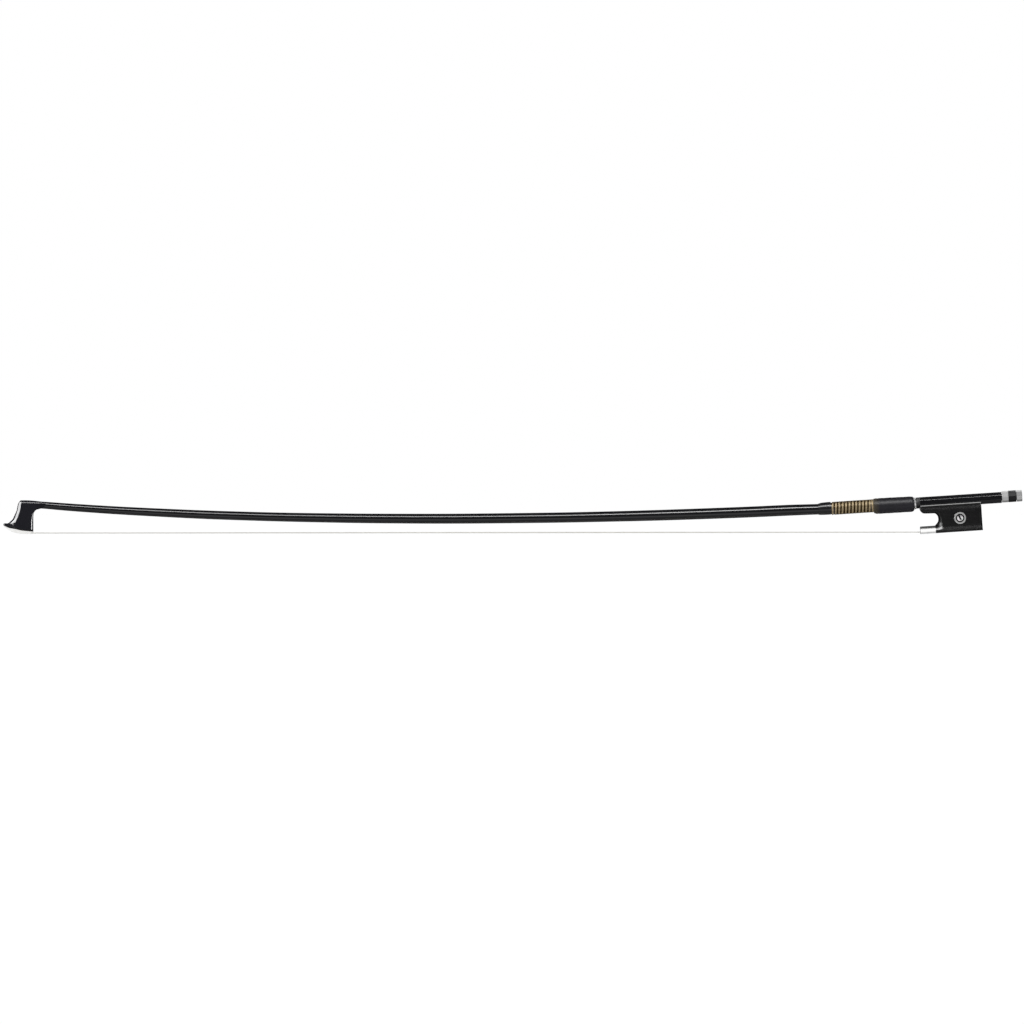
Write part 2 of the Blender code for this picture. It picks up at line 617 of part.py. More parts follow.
flare = [throat_loop(v, drop(abs(v)) if abs(v) < 6.4 else 4.5 + (abs(v) - 6.4))
         for v in (-8.5, -6.4, -6.0, -5.2, -4.2, -2.8, 2.8, 4.2, 5.2, 6.0, 6.4, 8.5)]
flare = loft("throat_flare", flare, cutters, parent=frog_axis)
combine(frog, flare)

tongue = [(v, w) for v, w in d_shape(FERRULE_WALL + 0.12, FROG_FLOOR) if w > TONGUE_BOTTOM]
half_at = (D_HALF_WIDTH - FERRULE_WALL - 0.12) * math.sqrt(
    1 - ((TONGUE_BOTTOM - D_SHOULDER) / (D_TOP - FERRULE_WALL - 0.12 - D_SHOULDER)) ** 2)
tongue = [(half_at, TONGUE_BOTTOM)] + tongue + [(-half_at, TONGUE_BOTTOM)]
tongue = prism("ferrule_tongue", tongue, (FROG_FRONT + 1.5 + 60.2) / 2, cutters, parent=frog_axis,
               location=((FROG_FRONT + 1.5 - 60.2) / 2, 0, 0), rotation=CROSSWISE)
combine(frog, tongue, "UNION")


def octagon_saddle(apothem, top):
    """Lower part of an octagon up to height top: right side, bottom first."""
    t = math.tan(math.pi / 8)
    reach = apothem * math.sqrt(2)
    return [(apothem * t, -apothem), (reach + top, top)]


a = OCTAGON / 2 + SADDLE_GAP + LINING + LINING_GAP
right = octagon_saddle(a, 1.0)
saddle = prism("saddle_channel", right + [(-v, w) for v, w in reversed(right)], 30.0, cutters,
               parent=frog_axis, location=(-40, 0, 0), rotation=CROSSWISE)
slide_channel = prism("slide_channel",
                      [(SLIDE_HALF_WIDTH[0] - 0.25, FROG_FLOOR - 1), (SLIDE_HALF_WIDTH[1], SLIDE_CHANNEL_TOP),
                       (-SLIDE_HALF_WIDTH[1], SLIDE_CHANNEL_TOP), (-SLIDE_HALF_WIDTH[0] + 0.25, FROG_FLOOR - 1)],
                      (SLIDE[1] + 0.2 + 51.0) / 2, cutters, parent=frog_axis,
                      location=((SLIDE[1] + 0.2 - 51.0) / 2, 0, 0), rotation=CROSSWISE)
hair_channel = box("hair_channel", (-51.0, -5.5, SLIDE_CHANNEL_TOP - 0.3), (-43.0, 5.5, HAIR_CHANNEL_TOP),
                   cutters, parent=frog_axis)
frog_mortise = box("frog_mortise", (FROG_MORTISE[0], -FROG_MORTISE_WIDTH / 2, SLIDE_CHANNEL_TOP - 0.5),
                   (FROG_MORTISE[1], FROG_MORTISE_WIDTH / 2, FROG_MORTISE_TOP), cutters, parent=frog_axis)
eyelet_hole = cylinder("eyelet_hole", SHANK_D / 2 + 0.2, SHANK_DEPTH - 0.5, -2.0, SIDES, cutters,
                       parent=frog_axis, location=(EYELET_U, 0, 0))
for cutter in (saddle, slide_channel, hair_channel, frog_mortise, eyelet_hole):
    combine(frog, cutter)

# lining of the saddle, with lips that show along the frog's upper rims
a_in = OCTAGON / 2 + SADDLE_GAP
a_out = a_in + LINING
inside = octagon_saddle(a_in, LIP[0])
outside = octagon_saddle(a_out, LIP[1])
right = inside + [(4.76, LIP[0]), (4.76, LIP[1])] + list(reversed(outside))
lining = [(-v, w) for v, w in reversed(inside)] + inside
lining = inside + [(4.76, LIP[0]), (4.76, LIP[1]), outside[1], outside[0]]
lining += [(-v, w) for v, w in reversed(lining)]
underslide = prism("underslide", lining, (59.6 - 15.4) / 2, parts, NICKEL, frog_axis,
                   location=(-(59.6 + 15.4) / 2, 0, 0), rotation=CROSSWISE)
combine(underslide, eyelet_hole)

PINS = (("underslide_pin_front", -55.0, -6.9), ("underslide_pin_rear", -20.0, -8.4))
for name, u, depth in PINS:
    hole = cylinder(name + "_hole", PIN_D / 2 + 0.12, depth - 0.2, -3.6, 12, cutters,
                    parent=frog_axis, location=(u, 0, 0))
    combine(frog, hole)
    combine(underslide, hole)
    cylinder(name, PIN_D / 2, depth, -a_in - 0.02, 12, parts, NICKEL, frog_axis,
             location=(u, 0, 0), smooth=35)

# ferrule
ferrule = prism("ferrule", d_shape(0.0, FROG_FLOOR, 16), (FERRULE[1] - FERRULE[0]) / 2, parts, NICKEL,
                frog_axis, location=((FERRULE[0] + FERRULE[1]) / 2, 0, 0), rotation=CROSSWISE, smooth=30)
hollow = prism("ferrule_hollow", d_shape(FERRULE_WALL, FROG_FLOOR + FERRULE_WALL, 16),
               (FERRULE[1] - FERRULE[0]) / 2 + 1, cutters, parent=frog_axis,
               location=((FERRULE[0] + FERRULE[1]) / 2, 0, 0), rotation=CROSSWISE)
combine(ferrule, hollow)
prism("ferrule_wedge", [(-60.1, -19.74), (-50.3, -19.74), (-50.3, -20.3), (-60.1, -20.78)],
      4.8, parts, MAPLE, frog_axis, rotation=SIDE_ON)

# slide: pearl outside, ebony strip behind it, in the dovetail
def slide_layer(name, low, high, clearance, mat):
    def half(w):
        f = (w - FROG_FLOOR + 1) / (SLIDE_CHANNEL_TOP - FROG_FLOOR + 1)
        return SLIDE_HALF_WIDTH[0] - 0.25 + (SLIDE_HALF_WIDTH[1] - SLIDE_HALF_WIDTH[0] + 0.25) * f - clearance
    section = [(half(low), low), (half(high), high), (-half(high), high), (-half(low), low)]
    return prism(name, section, (SLIDE[1] - SLIDE[0]) / 2, parts, mat, frog_axis,
                 location=((SLIDE[0] + SLIDE[1]) / 2, 0, 0), rotation=CROSSWISE)


slide_layer("pearl_slide", FROG_FLOOR, -22.1, 0.12, PEARL)
slide_layer("slide_backing", -22.0, -21.5, 0.12, EBONY)

prism("hair_knot_frog", [(-43.8, -20.1), (-43.8, -16.6), (-42.9, -15.1), (-38.0, -15.1),
                         (-38.0, -19.0), (-42.3, -19.2), (-43.0, -20.1)],
      3.7, parts, KNOT, frog_axis, rotation=SIDE_ON)
prism("frog_wedge", [(-42.1, -19.5), (-37.2, -19.3), (-37.2, -21.3), (-43.0, -21.3)],
      3.9, parts, MAPLE, frog_axis, rotation=SIDE_ON)

# eyelet: a drilled block in the stick's mortise, on a shank in the ebony
arch = [(EYELET_WIDTH / 2, -3.3), (EYELET_WIDTH / 2, SCREW_W + 0.6)]
arch += [(EYELET_WIDTH / 2 * math.cos(t), SCREW_W + 0.6 + 1.6 * math.sin(t))
         for t in (math.pi * i / 8 for i in range(1, 8))]
arch += [(-EYELET_WIDTH / 2, SCREW_W + 0.6), (-EYELET_WIDTH / 2, -3.3)]
eyelet = prism("eyelet", arch, EYELET_LENGTH / 2, parts, BRASS, frog_axis,
               location=(EYELET_U, 0, 0), rotation=CROSSWISE, smooth=30)
shank = cylinder("eyelet_shank", SHANK_D / 2, SHANK_DEPTH, -2.5, SIDES, cutters,
                 parent=frog_axis, location=(EYELET_U, 0, 0))
combine(eyelet, shank, "UNION")
thread_hole = cylinder("eyelet_bore", EYELET_BORE_D / 2, -5, 5, SIDES, cutters,
                       parent=frog_axis, location=(EYELET_U, 0, SCREW_W), rotation=ALONG)
combine(eyelet, thread_hole)

# eye on each side: metal ring and pearl, let into the ebony
side_slope = math.atan((FROG_SECTION[4][1] - FROG_SECTION[3][1]) /
                       (FROG_SECTION[3][0] - FROG_SECTION[4][0]))
eye_half = FROG_SECTION[3][1] + (FROG_SECTION[3][0] - EYE_W) * math.tan(side_slope)
for side, sign in (("left", -1), ("right", 1)):
    turn = (-sign * (math.pi / 2 - side_slope), 0, 0)
    at = (EYE_U, sign * eye_half, EYE_W)
    ro, ri, g = EYE_RING_D[0] / 2, EYE_RING_D[1] / 2, INLAY_GAP
    groove = turned("eye_groove_" + side, [(ro + g, 1.5), (ro + g, -EYE_DEPTH - g),
                                           (ri - g, -EYE_DEPTH - g), (ri - g, 1.5)],
                    24, cutters, None, frog_axis, at, turn, closed=True)
    pocket = cylinder("eye_pocket_" + side, EYE_PEARL_D / 2 + g, -EYE_DEPTH - g, 1.5, 24, cutters,
                      parent=frog_axis, location=at, rotation=turn)
    combine(frog, groove)
    combine(frog, pocket)
    turned("eye_ring_" + side, [(ro, 0.0), (ro, -EYE_DEPTH), (ri, -EYE_DEPTH), (ri, 0.0)],
           24, parts, NICKEL, frog_axis, at, turn, closed=True)
    cylinder("eye_pearl_" + side, EYE_PEARL_D / 2, -EYE_DEPTH, 0.0, 24, parts, PEARL, frog_axis,
             location=at, rotation=turn, smooth=35)

# ---------------------------------------------------------------- screw, button
turned("adjusting_screw",
       [(0.0, SCREW_END), (SHANK_SCREW_D / 2, SCREW_END), (SHANK_SCREW_D / 2, THREAD[1]),
        (THREAD_D / 2, THREAD[1] - 0.3), (THREAD_D / 2, THREAD[0] + 0.35), (NOSE_D / 2, THREAD[0]),
        (NOSE_D / 2, NOSE_FRONT + 0.5), (NOSE_D / 2 - 0.5, NOSE_FRONT), (0.0, NOSE_FRONT)],
       SIDES, parts, STEEL, screw_axis, rotation=ALONG)


def octagon_bar(name, flats, lo, hi, coll, mat=None):
    return cylinder(name, flats / 2 / math.cos(math.pi / 8), lo, hi, 8, coll, mat, screw_axis,
                    rotation=ALONG)


front_end, rear_start = BUTTON_RINGS
core = octagon_bar("button_core", BUTTON_CORE_FLATS, front_end + 0.06, rear_start - 0.06, parts, EBONY)
combine(core, cylinder("core_spigots", SPIGOT_D / 2, BUTTON_FRONT + 0.75, BUTTON_REAR - 0.25, 24,
                       cutters, parent=screw_axis, rotation=ALONG), "UNION")
combine(core, cylinder("nipple_recess", NIPPLE_D / 2 + 0.25, BUTTON_FRONT - 1.0, NIPPLE_LENGTH + 0.4,
                       24, cutters, parent=screw_axis, rotation=ALONG))
combine(core, cylinder("screw_socket", SHANK_SCREW_D / 2 + 0.12, BUTTON_FRONT - 1.0, SCREW_END + 0.15,
                       SIDES, cutters, parent=screw_axis, rotation=ALONG))

front_ring = octagon_bar("button_ring_front", BUTTON_FLATS, BUTTON_FRONT, front_end, parts, NICKEL)
combine(front_ring, cylinder("front_ring_seat", SPIGOT_D / 2 + 0.1, BUTTON_FRONT + 0.6, front_end + 1,
                             24, cutters, parent=screw_axis, rotation=ALONG))
combine(front_ring, cylinder("front_ring_hole", NIPPLE_D / 2 + 0.2, BUTTON_FRONT - 1, front_end + 1,
                             24, cutters, parent=screw_axis, rotation=ALONG))
rear_ring = octagon_bar("button_ring_rear", BUTTON_FLATS, rear_start, BUTTON_REAR, parts, NICKEL)
combine(rear_ring, cylinder("rear_ring_seat", SPIGOT_D / 2 + 0.1, rear_start - 1, BUTTON_REAR + 1,
                            24, cutters, parent=screw_axis, rotation=ALONG))
bpy.context.view_layer.update()
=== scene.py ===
import json
import math
import random

import bmesh
import bpy
import numpy as np
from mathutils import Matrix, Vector
from mathutils.geometry import delaunay_2d_cdt


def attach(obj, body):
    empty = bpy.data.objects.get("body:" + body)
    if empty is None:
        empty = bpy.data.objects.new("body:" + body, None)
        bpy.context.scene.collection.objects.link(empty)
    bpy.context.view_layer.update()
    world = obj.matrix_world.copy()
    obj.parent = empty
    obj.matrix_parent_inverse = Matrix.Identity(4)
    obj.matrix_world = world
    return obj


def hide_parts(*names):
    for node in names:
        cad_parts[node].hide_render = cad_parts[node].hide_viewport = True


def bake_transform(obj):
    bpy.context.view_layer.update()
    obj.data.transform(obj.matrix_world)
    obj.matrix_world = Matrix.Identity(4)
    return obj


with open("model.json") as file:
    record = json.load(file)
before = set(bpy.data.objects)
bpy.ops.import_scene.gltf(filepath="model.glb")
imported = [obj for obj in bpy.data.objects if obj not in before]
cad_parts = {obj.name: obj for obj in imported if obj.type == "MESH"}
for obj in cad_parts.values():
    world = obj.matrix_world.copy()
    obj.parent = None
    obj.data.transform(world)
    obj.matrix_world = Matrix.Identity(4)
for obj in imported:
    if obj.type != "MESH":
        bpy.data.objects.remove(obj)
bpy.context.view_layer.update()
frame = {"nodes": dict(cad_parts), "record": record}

nodes = frame["nodes"]
MM = 0.001

# ------------------------------------------------------------------ the bow's own frame, in millimetres
TILT = math.radians(3.7)
HX, HZ = 357.2, 60.8 * math.sin(TILT) + 22.85 * math.cos(TILT)
COS, SIN = math.cos(TILT), math.sin(TILT)


def from_handle(u, v, w):
    return (HX + u * COS - w * SIN, v, HZ + u * SIN + w * COS)


def axis_z(x):
    return HZ - (HX - x) * math.tan(TILT)


# ------------------------------------------------------------------ material helpers
class Nodes:
    """Short calls for building a shader tree."""

    def __init__(self, name):
        self.mat = bpy.data.materials.new(name)
        self.mat.use_nodes = True
        self.tree = self.mat.node_tree
        self.bsdf = self.tree.nodes["Principled BSDF"]

    def add(self, kind, inputs=None, **attrs):
        n = self.tree.nodes.new(kind)
        for k, v in attrs.items():
            setattr(n, k, v)
        for k, v in (inputs or {}).items():
            self.set(n, k, v)
        return n

    def set(self, node, key, value):
        sock = node.inputs[key]
        if isinstance(value, bpy.types.NodeSocket):
            self.tree.links.new(value, sock)
        else:
            sock.default_value = value

    def main(self, **values):
        names = {"color": "Base Color", "rough": "Roughness", "metal": "Metallic",
                 "normal": "Normal", "spec": "Specular IOR Level", "coat": "Coat Weight",
                 "coat_rough": "Coat Roughness", "sheen": "Sheen Weight", "ior": "IOR",
                 "sheen_rough": "Sheen Roughness", "aniso": "Anisotropic", "subsurf": "Subsurface Weight"}
        for k, v in values.items():
            self.set(self.bsdf, names[k], v)
        return self.mat

    def coords(self, scale=(1, 1, 1), rotate=(0, 0, 0), kind="Object"):
        c = self.add("ShaderNodeTexCoord")
        m = self.add("ShaderNodeMapping", {"Vector": c.outputs[kind], "Scale": scale, "Rotation": rotate})
        return m.outputs["Vector"]

    def noise(self, vector, scale, detail=3.0, rough=0.55, distort=0.0):
        n = self.add("ShaderNodeTexNoise", {"Vector": vector, "Scale": scale, "Detail": detail,
                                            "Roughness": rough, "Distortion": distort})
        return n.outputs["Fac"]

    def voronoi(self, vector, scale, feature="F1", output="Distance", randomness=1.0):
        n = self.add("ShaderNodeTexVoronoi", {"Vector": vector, "Scale": scale, "Randomness": randomness},
                     feature=feature)
        return n.outputs[output]

    def wave(self, vector, scale, distort=0.0, detail=2.0, direction="X"):
        n = self.add("ShaderNodeTexWave", {"Vector": vector, "Scale": scale, "Distortion": distort,
                                           "Detail": detail}, bands_direction=direction)
        return n.outputs["Fac"]

    def ramp(self, fac, *stops):
        n = self.add("ShaderNodeValToRGB", {"Fac": fac})
        r = n.color_ramp
        while len(r.elements) < len(stops):
            r.elements.new(0.5)
        for e, (pos, col) in zip(r.elements, stops):
            e.position = pos
            e.color = (*col, 1) if len(col) == 3 else col
        return n.outputs["Color"]

    def grey(self, fac, *stops):
        return self.ramp(fac, *[(p, (g, g, g)) for p, g in stops])

    def span(self, fac, lo, hi, from_lo=0.0, from_hi=1.0):
        n = self.add("ShaderNodeMapRange", {"Value": fac, "From Min": from_lo, "From Max": from_hi,
                                            "To Min": lo, "To Max": hi})
        return n.outputs["Result"]

    def math(self, op, a, b=0.0):
        n = self.add("ShaderNodeMath", operation=op)
        self.set(n, 0, a)
        self.set(n, 1, b)
        return n.outputs[0]

    def mix(self, fac, a, b, blend="MIX"):
        n = self.add("ShaderNodeMix", data_type="RGBA", blend_type=blend)
        self.set(n, 0, fac)
        self.set(n, 6, a)
        self.set(n, 7, b)
        return n.outputs[2]

    def bump(self, height, strength, distance, normal=None):
        n = self.add("ShaderNodeBump", {"Height": height, "Strength": strength, "Distance": distance})
        if normal is not None:
            self.set(n, "Normal", normal)
        return n.outputs["Normal"]


HANDLE_TURN = (0, math.radians(3.7), 0)


def lacquer():
    m = Nodes("black_lacquer")
    streak = m.noise(m.coords((60, 900, 900)), 1.0, 4, 0.6)
    broad = m.noise(m.coords((25, 25, 25)), 1.0, 3)
    # the head's cheeks get faint upright streaks of painted reflection, standing in for the reflections in their
    # polished flat faces; the same streaks also go into the bump
    upright = m.noise(m.coords((620, 200, 38)), 1.0, 3, 0.5)
    x = m.add("ShaderNodeSeparateXYZ", {0: m.coords()}).outputs["X"]
    at_head = m.span(x, 1.0, 0.0, -0.350, -0.340)
    streaks_and_painted_cheek_streaks = m.mix(at_head, streak, upright)
    col = m.mix(m.grey(streaks_and_painted_cheek_streaks, (0.35, 0.0), (0.65, 1.0)), (0.0030, 0.0030, 0.0038, 1), (0.0062, 0.0062, 0.0080, 1))
    # painted sheen: the head is painted a lighter, bluish tone
    col = m.mix(at_head, col, (0.0115, 0.0112, 0.0150, 1))
    rough = m.math("ADD", m.span(broad, 0.09, 0.15), m.span(streaks_and_painted_cheek_streaks, 0.0, 0.05))
    # the short collar in front of the frog is worn matt
    collar = m.math("MULTIPLY", m.span(x, 0.0, 1.0, 0.2944, 0.2948), m.span(x, 1.0, 0.0, 0.2974, 0.2978))
    rough = m.math("ADD", rough, m.math("MULTIPLY", collar, 0.5))
    wavy = m.noise(m.coords((120, 300, 300)), 1.0, 2)
    h = m.math("ADD", wavy, m.math("MULTIPLY", m.math("MULTIPLY", upright, at_head), 1.2))
    return m.main(color=col, rough=rough, spec=0.5, normal=m.bump(h, 0.12, 0.00004))


def ebony():
    m = Nodes("ebony")
    grain = m.noise(m.coords((70, 900, 620), HANDLE_TURN), 1.0, 5, 0.62, 0.15)
    pores = m.noise(m.coords((420, 5200, 4200), HANDLE_TURN), 1.0, 3, 0.5)
    pore = m.grey(pores, (0.30, 0.0), (0.42, 1.0))
    cloud = m.noise(m.coords((150, 150, 150)), 1.0, 2)
    col = m.mix(grain, (0.0030, 0.0029, 0.0031, 1), (0.0080, 0.0075, 0.0076, 1))
    col = m.mix(m.span(pore, 0.55, 0.0), col, (0.0030, 0.0026, 0.0026, 1))
    rough = m.math("ADD", m.math("ADD", m.span(grain, 0.18, 0.28), m.span(pore, 0.06, 0.0)), m.span(cloud, 0, 0.05))
    h = m.math("ADD", m.math("MULTIPLY", pore, 0.22), m.math("MULTIPLY", grain, 0.5))
    return m.main(color=col, rough=rough, spec=0.35, normal=m.bump(h, 0.12, 0.00003))


def leather():
    m = Nodes("black_leather")
    co = m.coords((1, 1, 1))
    warp = m.noise(co, 900, 3)
    cells = m.voronoi(co, 1900, "DISTANCE_TO_EDGE")
    grainy = m.noise(co, 3200, 4, 0.6)
    folds = m.noise(m.coords((700, 160, 160)), 1.0, 3, 0.6)
    edge = m.grey(cells, (0.0, 0.0), (0.12, 1.0))
    # painted shade: the grain is painted darker along its creases at the cell edges; its tone also varies at random
    col = m.mix(m.math("MULTIPLY", edge, warp), (0.0108, 0.0104, 0.0132, 1), (0.0225, 0.0217, 0.0275, 1))
    # the skived front lip and the leather just behind it turn a brownish tone, and the very front edge a light khaki
    # band
    x = m.add("ShaderNodeSeparateXYZ", {0: m.coords()}).outputs["X"]
    brownish_front = m.math("MULTIPLY", m.span(x, 1.0, 0.0, 0.2652, 0.2684), m.span(warp, 0.6, 1.0))
    col = m.mix(brownish_front, col, (0.052, 0.043, 0.027, 1))
    lip = m.span(x, 1.0, 0.0, 0.2636, 0.2642)
    col = m.mix(m.math("MULTIPLY", lip, 0.6), col, (0.20, 0.17, 0.115, 1))
    h = m.math("ADD", m.math("MULTIPLY", edge, 0.7),
               m.math("ADD", m.math("MULTIPLY", grainy, 0.35), m.math("MULTIPLY", folds, 0.7)))
    return m.main(color=col, rough=m.span(warp, 0.34, 0.46), spec=0.2, sheen=0.0,
                  normal=m.bump(h, 0.35, 0.00006))


def nickel(name="nickel", tone=(0.82, 0.82, 0.81), brushed=(40, 900, 900), low=0.16, high=0.32):
    m = Nodes(name)
    lines = m.noise(m.coords(brushed, HANDLE_TURN), 1.0, 5, 0.7)
    cloud = m.noise(m.coords((1, 1, 1)), 420, 3)
    spots = m.grey(m.noise(m.coords((1, 1, 1)), 2600, 2), (0.62, 0.0), (0.72, 1.0))
    dark = tuple(c * 0.84 for c in tone)
    col = m.mix(m.span(cloud, 0.0, 0.6), (*tone, 1), (*dark, 1))
    rough = m.math("ADD", m.span(lines, low, high), m.math("MULTIPLY", spots, 0.08))
    return m.main(color=col, rough=rough, metal=1.0, normal=m.bump(lines, 0.10, 0.00002))


def gold():
    m = Nodes("gold_strip")
    ribs = m.wave(m.coords((1, 1, 1), HANDLE_TURN), 900, 0.6, 1.0)
    rub = m.noise(m.coords((1, 1, 1)), 700, 4, 0.6)
    fleck = m.grey(m.noise(m.coords((1, 1, 1)), 3500, 3), (0.35, 0.0), (0.6, 1.0))
    col = m.mix(rub, (0.37, 0.288, 0.165, 1), (0.49, 0.395, 0.25, 1))
    col = m.mix(m.span(fleck, 0.25, 0.0), col, (0.22, 0.15, 0.06, 1))
    return m.main(color=col, rough=m.span(rub, 0.36, 0.48), metal=0.76,
                  normal=m.bump(ribs, 0.12, 0.00004))


def strip_black():
    m = Nodes("black_strip")
    rub = m.noise(m.coords((1, 1, 1)), 900, 4, 0.6)
    col = m.mix(rub, (0.022, 0.012, 0.002, 1), (0.062, 0.037, 0.010, 1))
    return m.main(color=col, metal=0.8, spec=0.12, rough=m.span(rub, 0.4, 0.6), normal=m.bump(rub, 0.15, 0.00004))


def sleeve():
    m = Nodes("dark_sleeve")
    g = m.noise(m.coords((1, 1, 1)), 1600, 4, 0.6)
    w = m.noise(m.coords((1, 1, 1)), 260, 2)
    col = m.mix(w, (0.0060, 0.0060, 0.0064, 1), (0.0130, 0.0126, 0.0134, 1))
    return m.main(color=col, rough=m.span(g, 0.18, 0.28), spec=0.4, normal=m.bump(g, 0.12, 0.00003))


def white_plate():
    m = Nodes("white_plate")
    c = m.noise(m.coords((1, 1, 1)), 320, 4, 0.6)
    s = m.noise(m.coords((60, 500, 500)), 1.0, 3)
    veins = m.grey(m.noise(m.coords((90, 900, 900), (0, 0.1, 0.05)), 1.0, 5, 0.7, 0.4), (0.42, 0.0), (0.62, 1.0))
    col = m.mix(c, (0.97, 0.965, 0.945, 1), (0.92, 0.915, 0.885, 1))
    col = m.mix(m.math("MULTIPLY", veins, 0.25), col, (0.80, 0.775, 0.72, 1))
    return m.main(color=col, rough=m.span(s, 0.18, 0.34), normal=m.bump(s, 0.06, 0.00003))


def liner():
    m = Nodes("black_liner")
    c = m.noise(m.coords((200, 900, 900)), 1.0, 4, 0.6)
    return m.main(color=m.mix(c, (0.003, 0.003, 0.003, 1), (0.009, 0.0085, 0.0085, 1)), spec=0.3,
                  rough=m.span(c, 0.40, 0.60), normal=m.bump(c, 0.15, 0.00003))


def hair():
    m = Nodes("horsehair")
    tone = m.noise(m.coords((9, 2600, 2600)), 1.0, 3, 0.6)
    scale = m.noise(m.coords((1800, 5000, 5000)), 1.0, 2)
    col = m.mix(tone, (0.93, 0.92, 0.87, 1), (0.82, 0.80, 0.735, 1))
    return m.main(color=col, rough=m.span(scale, 0.32, 0.5), spec=0.5, sheen=0.15,
                  normal=m.bump(scale, 0.2, 0.00001))


def bound():
    m = Nodes("bound_hair")
    # painted shade: the binding thread's turns are painted darker in the grooves between them, where the same waves
    # sink in the bump
    t = m.wave(m.coords((1, 1, 1)), 1500, 1.0, 2.0, "Z")
    return m.main(color=m.mix(t, (0.42, 0.36, 0.27, 1), (0.72, 0.67, 0.58, 1)), rough=m.span(t, 0.5, 0.75),
                  normal=m.bump(t, 0.4, 0.0001))


def maple():
    m = Nodes("pale_wood")
    g = m.noise(m.coords((150, 1500, 1500)), 1.0, 5, 0.65)
    return m.main(color=m.mix(g, (0.66, 0.47, 0.28, 1), (0.48, 0.31, 0.165, 1)),
                  rough=m.span(g, 0.45, 0.65), normal=m.bump(g, 0.25, 0.00005))


def pearl(name="pearl", streak=False):
    m = Nodes(name)
    co = m.coords((1, 1, 1))
    warp = m.noise(co, 330, 3, 0.55, 1.6)
    bands = m.wave(m.coords((1, 1, 1), (0.5, 0.3, 0.8)), 190, 9.0, 3.0, "DIAGONAL")
    tint = m.ramp(warp, (0.25, (0.62, 0.86, 0.80)), (0.45, (0.92, 0.93, 0.90)),
                  (0.60, (0.93, 0.80, 0.87)), (0.78, (0.70, 0.80, 0.95)))
    col = m.mix(m.span(bands, 0.0, 0.45), tint, (0.97, 0.97, 0.94, 1))
    if streak:
        # the pearl of the eye turns darker towards its top, and one dark figure line slants across it
        xyz = m.add("ShaderNodeSeparateXYZ", {0: co})
        cx, cz = from_handle(-31.3, 0, -13.0)[0] * MM, from_handle(-31.3, 0, -13.0)[2] * MM
        dx = m.math("SUBTRACT", xyz.outputs["X"], cx)
        dz = m.math("SUBTRACT", xyz.outputs["Z"], cz)
        wob = m.span(m.noise(co, 900, 2), -0.00022, 0.00022)
        a = math.radians(24)
        dist = m.math("ADD", m.math("ADD", m.math("MULTIPLY", dx, math.cos(a)), m.math("MULTIPLY", dz, math.sin(a))), wob)
        line = m.span(m.math("ABSOLUTE", dist), 1.0, 0.0, 0.00055, 0.00080)
        fade = m.span(dz, 0.35, 1.0, -0.0019, -0.0009)
        col = m.mix(m.span(dz, 0.0, 0.75, 0.0004, 0.0019), col, (0.10, 0.105, 0.11, 1))
        col = m.mix(m.math("MULTIPLY", line, fade), col, (0.012, 0.014, 0.016, 1))
    return m.main(color=col, rough=m.span(warp, 0.12, 0.26), coat=0.6, coat_rough=0.04,
                  metal=0.15, normal=m.bump(bands, 0.08, 0.00003))


def brass():
    m = Nodes("brass")
    g = m.noise(m.coords((1, 1, 1)), 900, 4)
    return m.main(color=m.mix(g, (0.76, 0.55, 0.24, 1), (0.55, 0.38, 0.15, 1)), metal=1.0,
                  rough=m.span(g, 0.22, 0.42), normal=m.bump(g, 0.1, 0.00003))


def steel():
    m = Nodes("screw_steel")
    g = m.noise(m.coords((900, 60, 60)), 1.0, 4)
    return m.main(color=m.mix(g, (0.56, 0.57, 0.58, 1), (0.40, 0.40, 0.41, 1)), metal=1.0,
                  rough=m.span(g, 0.2, 0.4), normal=m.bump(g, 0.12, 0.00003))


LOOKS = {
    "stick_lacquer": lacquer(), "liner_black": liner(), "tip_white": white_plate(),
    "wedge_wood": maple(), "horsehair": hair(), "bound_hair": bound(), "sleeve_dark": sleeve(),
    "winding_gold": gold(), "winding_black": strip_black(), "grip_leather": leather(),
    "nickel": nickel(), "ebony": ebony(), "pearl": pearl(), "brass": brass(), "screw_steel": steel(),
    "pearl_eye": pearl("pearl_eye", True),
    # painted light: the ferrule's nickel is a lighter copy of the other nickel, so it reads brighter; it is also
    # rougher
    "ferrule_bright": nickel("nickel_ferrule", (0.88, 0.88, 0.87), (30, 700, 700), 0.24, 0.40),
}
slot_of = {s["node"]: s["material_slot"] for s in frame["record"]["subparts"]}
for name, ob in nodes.items():
    ob.data.materials.clear()
    ob.data.materials.append(LOOKS[slot_of[name]])


# ------------------------------------------------------------------ geometry helpers, all in millimetres
def curve(points):
    """A smooth curve through (x, y) points that never overshoots them."""
    x = np.array([p[0] for p in points], float)
    y = np.array([p[1] for p in points], float)
    h, d = np.diff(x), np.diff(y) / np.diff(x)
    m = np.zeros(len(x))
    for i in range(1, len(x) - 1):
        if d[i - 1] * d[i] > 0:
            w1, w2 = 2 * h[i] + h[i - 1], h[i] + 2 * h[i - 1]
            m[i] = (w1 + w2) / (w1 / d[i - 1] + w2 / d[i])
    m[0], m[-1] = d[0], d[-1]

    def value(t):
        t = np.clip(np.asarray(t, float), x[0], x[-1])
        i = np.clip(np.searchsorted(x, t) - 1, 0, len(h) - 1)
        s = (t - x[i]) / h[i]
        return ((1 + 2 * s) * (1 - s) ** 2 * y[i] + s * (1 - s) ** 2 * h[i] * m[i]
                + s * s * (3 - 2 * s) * y[i + 1] + s * s * (s - 1) * h[i] * m[i + 1])
    return value


